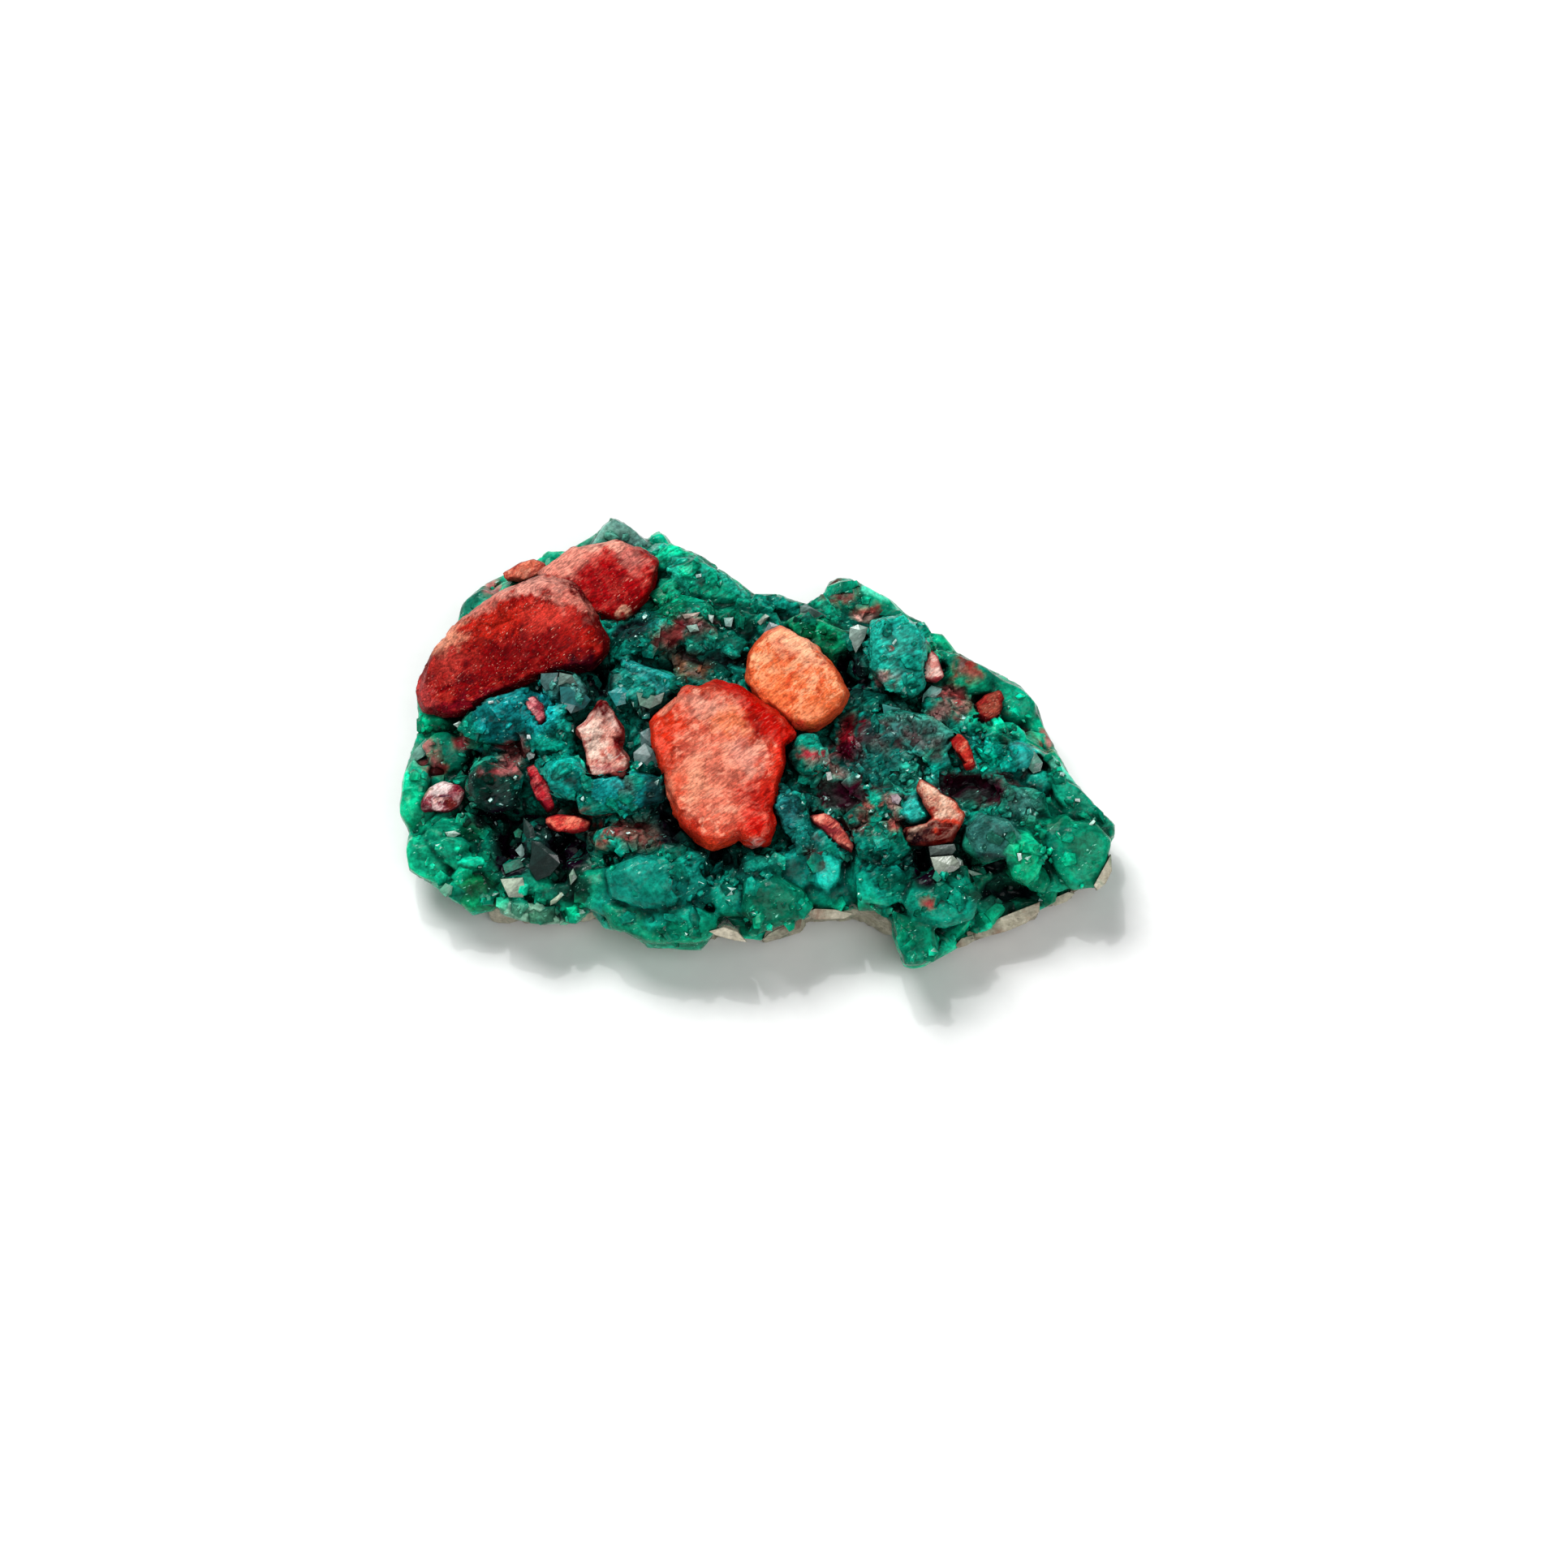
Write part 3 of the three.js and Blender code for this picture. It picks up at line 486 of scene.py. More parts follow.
def dioptase_material():
    n = Nodes("dioptase")
    fibres = n.stretched(30, 3.2, 0.8)
    cloud = n.ramp(n.noise(2.6, 4, 0.6, warp=0.4), 0.28, 0.72, 0.62, 1.4)
    grain = n.ramp(n.noise(0.42, 5, 0.7), 0.32, 0.68, 0.6, 1.4)
    streak = n.ramp(n.noise(0.3, 4, 0.65, place=fibres), 0.34, 0.66, 0.5, 1.5)
    colour = n.times(n.attribute("tint", "Color"), cloud, grain)
    colour = n.mix(n.attribute("rough"), colour, n.times(colour, streak))
    blue = n.times(colour, (0.8, 0.92, 1.1))
    colour = n.mix(n.ramp(n.noise(1.7, 3, 0.6), 0.5, 0.72, 0, 0.5), colour, blue)
    # painted glints: small pale streaks mixed into the colour where the fine noise peaks
    painted_glint_speck = n.ramp(n.noise(0.17, 2, 0.5, place=n.stretched(30, 4.0, 0.9)), 0.66, 0.72, 0, 0.9)
    colour = n.mix(n.product(painted_glint_speck, n.ramp(n.noise(1.3, 2), 0.46, 0.58)), colour, srgb("#84d6be"))
    # painted shade: the colour is darkened where the ambient occlusion node finds the surface sheltered, in crevices
    # and between crystals
    shade_from_occlusion = n.set(n.add("ShaderNodeAmbientOcclusion", samples=6), "AO", Distance=1.8 * MM)
    colour = n.times(colour, n.ramp(shade_from_occlusion, 0.15, 0.8, 0.14, 1.1))
    lines = n.bump(n.noise(0.4, 2, 0.5, place=fibres), 0.12, 0.45, onto=n.bump(n.cells(0.75), 0.14, 0.4))
    roughness = n.ramp(n.noise(0.8, 3, 0.6), 0.35, 0.65, 0.07, 0.2)
    return n.finish(Base_Color=colour, Roughness=roughness, Normal=lines, IOR=1.5, Specular_IOR_Level=0.06,
                    Subsurface_Weight=0.1, Subsurface_Radius=(0.3, 1.0, 0.8), Subsurface_Scale=0.001)


def calcite_material(name, pale_share, strand_depth, scratch_and_glint_share):
    """Granular calcite, mottled from its own tint to a paler and a deeper colour, with fibres and with pale scratches
    that are partly painted glints.
    """
    n = Nodes(name)
    pale = n.attribute("pale", "Color")
    deep = n.attribute("deep", "Color")
    fibres = n.stretched(FIBRE_TURN, 5.0, 0.7)
    strand = n.ramp(n.noise(0.2, 3, 0.6, place=fibres), 0.34, 0.66, 1 - strand_depth, 1 + strand_depth)
    grain = n.ramp(n.noise(0.19, 4, 0.7), 0.32, 0.68, 0.76, 1.2)
    cloud = n.noise(1.7, 4, 0.65, warp=0.6)
    mottle = n.noise(0.8, 4, 0.65, place=n.stretched(FIBRE_TURN, 2.2, 0.9), warp=0.3)
    colour = n.attribute("tint", "Color")
    for lumps, paler, deeper, deep_share in ((cloud, (0.5, 0.6), (0.47, 0.37), 0.85),
                                             (mottle, (0.52, 0.62), (0.46, 0.36), 0.75)):
        colour = n.mix(n.ramp(lumps, *paler, 0, pale_share), colour, pale)
        colour = n.mix(n.ramp(lumps, *deeper, 0, deep_share), colour, deep)
    colour = n.times(colour, strand, grain)
    streaks = n.ramp(n.noise(0.17, 2, 0.5, place=n.stretched(FIBRE_TURN, 7.0, 0.8)), 0.62, 0.7, 0, 0.75)
    colour = n.mix(n.product(streaks, n.ramp(n.noise(1.6, 2), 0.44, 0.6)), colour, pale)
    # pale scratches along the fibres, partly painted glints
    scratched = n.stretched(FIBRE_TURN + 6, 8.0, 0.9)
    scratches_and_glints = n.ramp(n.noise(0.13, 2, 0.5, place=scratched), 0.63, 0.7, 0, scratch_and_glint_share)
    colour = n.mix(n.product(scratches_and_glints, n.ramp(n.noise(1.1, 3), 0.4, 0.6)), colour, srgb("#e8a08a"))
    fine = n.bump(n.noise(0.14, 3, 0.65), 0.04, 0.45)
    lines = n.bump(n.noise(0.2, 3, 0.6, place=fibres), 0.07, 0.45, onto=fine)
    roughness = n.ramp(n.noise(0.6, 3, 0.6), 0.35, 0.65, 0.4, 0.62)
    return n.finish(Base_Color=colour, Roughness=roughness, Normal=lines, IOR=1.45, Specular_IOR_Level=0.04,
                    Subsurface_Weight=0.1, Subsurface_Radius=(1.0, 0.35, 0.25), Subsurface_Scale=0.0008)


def rock_material():
    n = Nodes("matrix_rock")
    beds = n.noise(1.4, 5, 0.65, place=n.stretched(-10, 1.5, 0.8), warp=0.5)
    colour = n.mix(n.ramp(beds, 0.3, 0.7), srgb("#c4bca8"), srgb("#968f7a"))
    colour = n.mix(n.ramp(n.noise(3.2, 4, 0.6), 0.55, 0.72, 0, 0.75), colour, srgb("#7a4e37"))  # iron stain
    colour = n.mix(n.ramp(n.noise(2.1, 4, 0.6), 0.56, 0.7, 0, 0.6), colour, srgb("#5c8069"))  # green stain
    pores = n.ramp(n.noise(0.5, 3, 0.6, place=n.stretched(20, 2.5, 0.8)), 0.26, 0.36, 0.5, 1.0)
    colour = n.times(colour, n.ramp(n.noise(0.35, 4, 0.7), 0.3, 0.7, 0.72, 1.22), pores)
    fine = n.bump(n.noise(0.3, 4, 0.7), 0.12, 0.7)
    steps = n.bump(n.noise(1.6, 3, 0.6, place=n.stretched(-20, 2.0, 0.8)), 0.3, 0.6, onto=fine)
    return n.finish(Base_Color=colour, Roughness=n.ramp(beds, 0.3, 0.7, 0.62, 0.85), Normal=steps)


def crystal_material():
    """Clear to milky green crystals, see-through where they are thin."""
    n = Nodes("dioptase_crystals")
    growth_lines = n.stretched(40, 6.0, 0.5)
    cloud = n.ramp(n.noise(0.9, 4, 0.6, warp=0.3), 0.3, 0.7, 0.72, 1.25)
    growth = n.ramp(n.noise(0.35, 2, 0.5, place=growth_lines), 0.35, 0.65, 0.8, 1.15)
    lines = n.bump(n.noise(0.25, 2, 0.5, place=growth_lines), 0.05, 0.4)
    return n.finish(Base_Color=n.times(n.attribute("tint", "Color"), cloud, growth), Normal=lines, IOR=1.6,
                    Roughness=n.ramp(n.noise(0.7, 3), 0.35, 0.65, 0.1, 0.32), Transmission_Weight=0.2,
                    Coat_Weight=0.15, Coat_Roughness=0.08)


# ---------------------------------------------------------------- calcite

FIBRE_TURN = 38  # degrees from +X
LARGE = 8  # a calcite piece longer than this in mm is a blade

# node, its middle, paler and deeper colour, slot
LOOKS = rows("""
calcite_blade_left_front #7e0004 #ba3428 #4c0006 calcite_red
calcite_blade_left_back #a00408 #d45c4e #700004 calcite_red
calcite_blade_centre #ce4c32 #eca084 #b81e0c calcite_orange
calcite_blade_small #de6c3e #f6aa7e #cc4622 calcite_orange
calcite_block #d69484 #f0ccbe #a43230 calcite_pink
calcite_wedge #daa48a #f2ceb6 #960a0a calcite_pink
calcite_teardrop #da8c82 #f0c8bc #a02c38 calcite_pink
calcite_knob #883842 #e2c0be #460818 calcite_pink
calcite_curl #cc3c2c #ec8c70 #960e14 calcite_orange
calcite_lens #cc3e36 #ec8268 #780816 calcite_orange
calcite_splinter_back #d87056 #f6b092 #96322c calcite_orange
calcite_sliver #be5448 #e4927e #6e1422 calcite_orange
calcite_stripe #b2222c #d67470 #640418 calcite_red
calcite_scale #8c1e1a #a45c46 #500810 calcite_red
calcite_chip #ba5a62 #e8b0ac #780824 calcite_red
""")

# where a calcite's colour differs, partly its own colour and partly painted light and shade, with paler spots along
# upper edges where light falls and near-black ones low down where shadow falls: oval, colour, strength
CALCITE_SPOTS_LIGHT_AND_SHADE = {
    "calcite_blade_left_front": rows("""
612 768 40 22 20 #ce2816 0.55
712 788 20 26 0 #b01a0e 0.6
548 784 30 15 45 #e49476 0.9
592 746 46 10 28 #d07a6a 0.85
648 722 48 8 6 #da9484 0.9
698 738 30 9 -35 #d48070 0.85
520 852 13 26 30 #b84644 0.7
654 800 62 28 12 #700004 0.9
590 868 60 10 10 #700418 0.8
680 846 60 12 12 #5c000e 0.85
676 756 24 18 0 #ce3a2e 0.8
715 826 30 12 0 #28000e 0.9
552 820 24 15 30 #ba3830 0.8
"""),
    "calcite_blade_left_back": rows("""
694 694 40 18 20 #de8c7a 0.95
742 669 38 7 5 #e09e8a 0.9
780 686 20 14 -30 #cc7c70 0.75
750 722 40 26 0 #960008 0.7
764 750 14 12 0 #92080c 0.8
773 760 7 4 0 #e2aa8c 0.8
"""),
    "calcite_blade_centre": rows("""
882 955 40 62 20 #d87c64 0.7
904 892 30 14 0 #de744a 0.8
866 872 28 14 -10 #de947e 0.85
920 932 18 24 0 #d08876 0.85
848 966 24 26 0 #e09272 0.8
936 978 24 20 0 #b00a06 0.9
884 848 20 10 0 #962418 0.8
948 898 28 15 -38 #800000 0.9
826 940 14 24 0 #b02c16 0.7
926 868 64 16 -38 #b00400 1
966 925 15 42 0 #c40e04 0.95
958 970 12 44 8 #ce1e0c 0.9
936 1014 26 22 0 #c40802 0.95
814 908 14 40 0 #ce260c 0.92
830 890 18 18 30 #ce2c0e 0.85
830 872 14 9 -20 #d8846a 0.85
838 985 9 40 -14 #d03c20 0.8
885 1040 40 7 0 #d63a1c 0.85
932 1042 10 5 0 #e8aaa0 0.8
"""),
    "calcite_blade_small": rows("""
985 800 36 16 -30 #fcb690 0.85
950 850 24 24 0 #ee7240 0.7
1002 872 30 16 20 #d26032 0.8
1020 806 9 22 40 #cc4e22 0.85
1010 825 4 4 0 #a01808 0.9
976 896 42 7 -8 #be3224 0.9
928 868 9 20 -30 #cc4222 0.8
"""),
    "calcite_block": rows("""
742 872 15 14 0 #540006 1
768 914 8 20 4 #6e040c 1
750 921 14 5 10 #c44632 0.8
749 901 12 12 0 #ce8474 0.7
736 912 8 26 10 #f4d6c4 0.8
750 952 24 5 0 #b05454 0.8
"""),
    "calcite_wedge": rows("""
1160 1030 40 18 -6 #580000 1
1126 1032 18 20 0 #160008 1
1162 1013 22 5 -8 #ce280a 0.9
1184 996 10 9 40 #d25438 0.8
"""),
    "calcite_knob": rows("""
545 968 13 7 20 #ecd6d2 0.9
529 978 5 7 0 #868c70 0.8
563 974 8 8 0 #7e0e28 0.95
552 980 9 4 20 #38082c 0.9
557 989 9 7 20 #6a1a14 0.9
523 988 6 7 0 #5a001e 0.95
544 989 7 5 0 #e4b0a8 0.9
"""),
    "calcite_splinter_back": rows("""
640 706 14 9 20 #a04c3a 0.6
"""),
}

# broken pieces as they show: height over the modelled piece in mm, rise to the right and upwards in mm per px,
# outline
DRAWN = {
    "calcite_wedge": rows("""
0.1 0 0.002 1132,962 1141,967 1150,973 1156,981 1168,985 1175,991 1178,999 1184,1002 1182,1008 1166,1013 1152,1010 \
    1147,1002 1140,993 1135,981 1129,973
-0.2 0 0.008 1115,1022 1124,1019 1140,1017 1149,1008 1164,1008 1184,1006 1177,1018 1171,1030 1166,1037 1142,1039 \
    1118,1039
"""),
    "calcite_block": rows("""
-0.1 0 0.002 740,866 745,866 753,878 761,888 768,898 767,912 765,924 774,934 773,948 770,957 756,955 740,957 730,957 \
    727,945 727,926 721,914 714,905 714,899 727,890 735,878
"""),
    "calcite_knob": rows("""
0 0 0 547,966 555,968 566,970 572,976 570,983 565,993 557,998 545,1000 531,997 525,998 524,990 529,979 533,972 \
    540,968
"""),
    "calcite_curl": rows("""
0 0 0 1170,913 1179,907 1188,914 1193,926 1197,943 1191,948 1186,937 1180,928 1173,921
"""),
    "calcite_sliver": rows("""
0 0 0 1000,1007 1016,1004 1032,1015 1041,1029 1050,1040 1047,1049 1035,1041 1025,1031 1013,1022
"""),
    "calcite_lens": rows("""
0 0 0 678,1010 690,1006 712,1007 727,1013 724,1021 704,1024 688,1021 679,1015
"""),
    "calcite_stripe": rows("""
0 0 0 653,948 661,945 672,962 678,972 684,994 677,999 667,984 659,966
"""),
    "calcite_chip": rows("""
0 0 0 652,864 659,861 670,871 673,886 667,893 660,883 653,873
"""),
    "calcite_scale": rows("""
0 0 0 1203,869 1214,859 1231,853 1236,864 1228,882 1216,891 1206,884
"""),
    "calcite_teardrop": rows("""
0 0 0 1146,804 1152,811 1156,826 1160,834 1152,839 1140,836 1142,819
"""),
}

# how far the broken face of a blade is made flat, and how far the other large pieces' are
FLATNESS = {"calcite_blade_left_front": 0.45, "calcite_blade_left_back": 0.6}
FLAT = 0.8
BLADE_VOXEL, CHIP_VOXEL = 0.16, 0.1  # in mm
SHOULDER = (690, 722, 60, 26, 20)  # the oval where the left blades swell, one against the other


def drawn_mesh(name, shapes, tree):
    """Broken pieces with a flat top and sharp shoulders, as high as the modelled piece in the tree."""
    points, faces = [], []
    for height, rise_right, rise_up, outline in shapes:
        centre = np.mean(outline, axis=0)
        level = max(seen_levels(tree, outline)) + height - 0.25
        count = len(outline)
        rings = [list(range(len(points) + ring * count, len(points) + (ring + 1) * count)) for ring in range(3)]
        for grow, sink, slope in ((0.86, 0.0, 1), (1.0, 0.3, 1), (1.02, 2.2, 0)):
            for corner in outline:
                rise = risen(centre, corner, rise_right, rise_up) * slope
                points.append(view_point(*spread(centre, corner, grow), level + rise - sink))
        faces += [rings[0][::-1], rings[2]]
        for upper, lower in zip(rings, rings[1:]):
            faces += [[upper[i - 1], upper[i], lower[i], lower[i - 1]] for i in range(count)]
    return mesh_of(name, points, faces)


def flattening(points, normals, share):
    """How far a blade's shoulders rise towards the plane of its face, which leaves its edge sharp."""
    x, y = displayed(points)
    level = points @ TOWARD
    facing = normals @ TOWARD
    front = facing > 0.93
    plane = np.stack([np.ones(len(points)), x, y], axis=1)
    fit = np.linalg.lstsq(plane[front], level[front], rcond=None)[0]
    lack = np.clip(plane @ fit - level, -0.3, 0.6)
    return share * smooth(0.4, 0.8, facing) * lack


def calcite_shape(node, size):
    """The modelled piece made broken and granular, its points, and its normals as they were before the grain."""
    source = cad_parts[node].data
    if node in DRAWN:
        source = drawn_mesh(node + "_drawn", DRAWN[node], solid_tree([source]))
    mesh = remeshed(node + "_grown", [source], BLADE_VOXEL if size > LARGE else CHIP_VOXEL)
    points = relaxed(mesh, points_of(mesh), 1 if node in DRAWN else 3, 0.4)
    normals = put_points(mesh, points)
    if size > LARGE:
        points = points + TOWARD * flattening(points, normals, FLATNESS.get(node, FLAT))[:, None]
        normals = put_points(mesh, points)
    swell = 0.3 * patch(*displayed(points), SHOULDER, 0.5) * ("blade_left" in node)
    points = points + normals * (facetted(points, normals, 2.6, 0.07, 0.16, 71) + swell)[:, None]
    normals = put_points(mesh, points)
    fibre = np.stack([*turned(points[:, 0], points[:, 1], math.radians(35)), points[:, 2]], axis=1)
    seed = sum(map(ord, node))
    move = 0.10 * layered(fibre * np.array([0.3, 1.4, 1.2]), 0.8, 3, seed) + 0.14 * layered(points, 2.2, 3, seed + 5)
    points = points + normals * (move * min(1.0, 0.35 + size / 15))[:, None]
    put_points(mesh, points)
    return mesh, points, normals


def calcite_piece(node, middle, paler, deeper, slot, material):
    low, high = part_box(node)
    size = (high - low).length / MM
    mesh, points, normals = calcite_shape(node, size)
    large = size > LARGE
    seed = sum(map(ord, node))
    place = [value + (1.0 if large else 0.6) * (8 * layered(points, 1.6, 3, seed + 8 + axis)
                                                + 9 * layered(points, 0.5, 2, seed + 11 + axis))
             for axis, value in enumerate(displayed(points))]
    # painted shade: sides turned from the viewer and undersides take the deeper colour and lose the paler one, partly
    # the calcite's own deeper red on its broken sides
    flank_shade = np.maximum(1 - smooth(0.2, 0.75, normals @ TOWARD), smooth(0.1, 0.5, -(normals @ UP)))
    tint = mixed(np.broadcast_to(middle, points.shape), deeper, 0.85 * flank_shade)
    paler = mixed(np.broadcast_to(paler, points.shape), tint, flank_shade)
    deeper = np.broadcast_to(deeper, points.shape)
    # the spots paint the calcite's own colours and also painted light and shade
    for *oval, tone, share in CALCITE_SPOTS_LIGHT_AND_SHADE.get(node, ()):
        share = share * patch(*place, oval, 0.6 if large else 0.4)
        tint = mixed(tint, tone, share)
        paler = mixed(paler, mixed(paler, tone, np.full(len(points), 0.85)) * 1.15, share)
        deeper = mixed(deeper, tone * 0.6, share)
    add_attribute(mesh, "tint", tint)
    add_attribute(mesh, "pale", np.clip(paler, 0, 1))
    add_attribute(mesh, "deep", deeper)
    shade_smooth(mesh)
    made = object_of(node + "_grown", mesh, material)
    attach(made, "root")
    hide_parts(node)
    return made


RED_CALCITE = calcite_material("calcite_red", 0.36, 0.42, 0.8)
PALE_CALCITE = calcite_material("calcite_pale", 0.8, 0.3, 0.34)
calcites = [calcite_piece(*look, RED_CALCITE if look[-1] == "calcite_red" else PALE_CALCITE) for look in LOOKS]


# ---------------------------------------------------------------- dioptase crust

BRIGHT, MID, TEAL, HOLLOW_SHADE_GREEN, PIT_SHADE_BLACK, GLINT = (
    srgb(code) for code in ("#0aa880", "#008068", "#106262", "#043a36", "#100210", "#a8cec4"))

# the specimen's outline as it is displayed: across and up in mm
OUTLINE = rows("""
29.3,-7.9 29.3,-6.8 27.8,-5.5 25.8,-3.1 24.6,-0.8 23.7,0.9 23.1,2.9 21.8,4.5 20.1,5.5 18.5,6.2 16.5,7.3 15.3,8.9 \
    14.3,8.9 13.8,9.9 12.5,10.4 11.1,11.7 8.5,13.1 7.1,13.9 6,13.4 5.4,12.2 4.1,11.3 1.5,12.2 -0.2,12.2 -1.5,13.2 \
    -3.2,14.4 -4.9,15.5 -7,16.3 -7.6,17.2 -8.3,17.6 -9.3,16.8 -11.2,18.3 -12.2,18.6 -13.5,17.2 -15.9,15.8 -17.5,15.9 \
    -18.5,15 -20.9,14 -22.7,13.1 -24.5,11.5 -25,9.5 -27.1,6.5 -28.1,3.7 -28,0.5 -29.1,-2.8 -29.3,-5.1 -29.3,-6.1 \
    -28.5,-7.5 -28.7,-8.5 -28.5,-10.6 -24.2,-13.3 -23.2,-14.3 -21.4,-13.9 -19.5,-14.7 -16.9,-15.1 -14.7,-15 \
    -13.5,-13.9 -12.5,-15.3 -10.2,-15.7 -8.9,-16.9 -4.5,-17.1 -3.5,-15.8 -1.5,-16.1 0.5,-16.3 2.8,-15.5 3.7,-14.5 \
    5.8,-14.5 8.2,-13.9 9.3,-13.8 10.9,-14.7 10.95,-15.9 11.5,-17.3 11.9,-18.4 12.6,-18.6 13.6,-18.4 16.5,-16.8 \
    17.8,-15.9 20.8,-14.8 23,-13.9 24.5,-13.1 27.5,-12.1 28.6,-10.8 28.7,-8.8
""")[0][0]
OUTLINE_PX = [(PX_ORIGIN[0] + u * PX_PER_MM, PX_ORIGIN[1] - v * PX_PER_MM) for u, v in OUTLINE]

# masses that stand out of the crust: oval, height in mm
LUMPS = rows("""
532 890 24 17 -10 1.1
585 745 30 20 40 0.9
628 722 24 15 20 0.8
680 686 22 15 20 0.8
757 652 40 26 25 1.3
811 662 15 15 0 1
838 700 36 30 -20 1.2
880 728 36 24 -25 1.2
850 757 34 18 0 0.9
958 745 34 20 -5 1.1
908 768 34 20 0 1.1
985 752 30 16 -20 0.9
1038 722 30 20 -10 1.1
1078 742 36 20 -35 1.1
1108 808 38 52 10 1.9
1160 790 22 22 0 1
1192 832 34 26 -20 1.2
1250 868 38 32 -30 1.3
1278 905 26 26 0 0.9
1302 948 22 34 -25 0.9
1330 990 34 34 -40 1.3
1356 1022 20 16 0 0.9
1334 1062 36 38 0 1.4
1258 1054 20 35 12 1.7
1216 1034 34 28 0 1.5
1160 1100 44 40 20 1.6
1125 1165 32 28 0 1.3
1085 1088 40 28 0 1.2
1018 1072 19 26 0 1.1
1020 1104 34 22 0 1
955 1112 44 26 5 1.3
900 1102 30 30 0 1.1
842 1135 48 24 0 1.3
815 1080 60 34 15 1.7
750 1100 34 34 0 1.2
714 1122 16 14 0 0.9
650 1122 52 17 -8 1.2
577 1098 40 28 -20 1.3
530 1060 30 34 0 1.3
510 1000 18 32 -5 1.2
514 962 17 26 10 1.1
516 928 12 16 0 0.7
700 850 32 22 -20 1.3
630 885 62 32 14 1.8
680 905 36 34 0 1.3
697 955 32 28 0 1.6
614 968 38 26 0 1.3
770 975 56 20 5 1.4
790 852 42 26 -20 1.5
800 790 46 24 30 1.2
856 786 26 18 0 0.8
898 795 26 22 0 0.9
1004 796 40 32 -30 1.6
1078 915 40 34 0 0.9
1130 905 48 30 -20 1.2
1240 932 38 22 -20 1.3
993 930 25 26 0 1.2
975 1000 20 44 30 1.1
1010 1040 36 24 0 1.2
935 1072 30 22 0 1
1300 1030 30 26 0 1
638 1090 22 13 5 0.8
586 1062 36 12 -5 0.9
556 1032 34 16 -5 1
770 1032 40 18 -8 1.2
550 925 30 26 0 0.8
1112 990 30 22 0 0.8
1255 985 30 20 0 0.9
690 1100 26 16 20 0.9
725 1070 22 18 0 1
1085 1040 34 28 0 1.1
1180 930 40 24 0 0.7
575 985 16 26 0 0.9
545 980 26 30 0 0.7
1215 900 30 26 -30 0.9
1150 870 24 12 -20 0.7
860 1095 24 20 0 0.8
1300 1085 30 16 15 0.8
""")

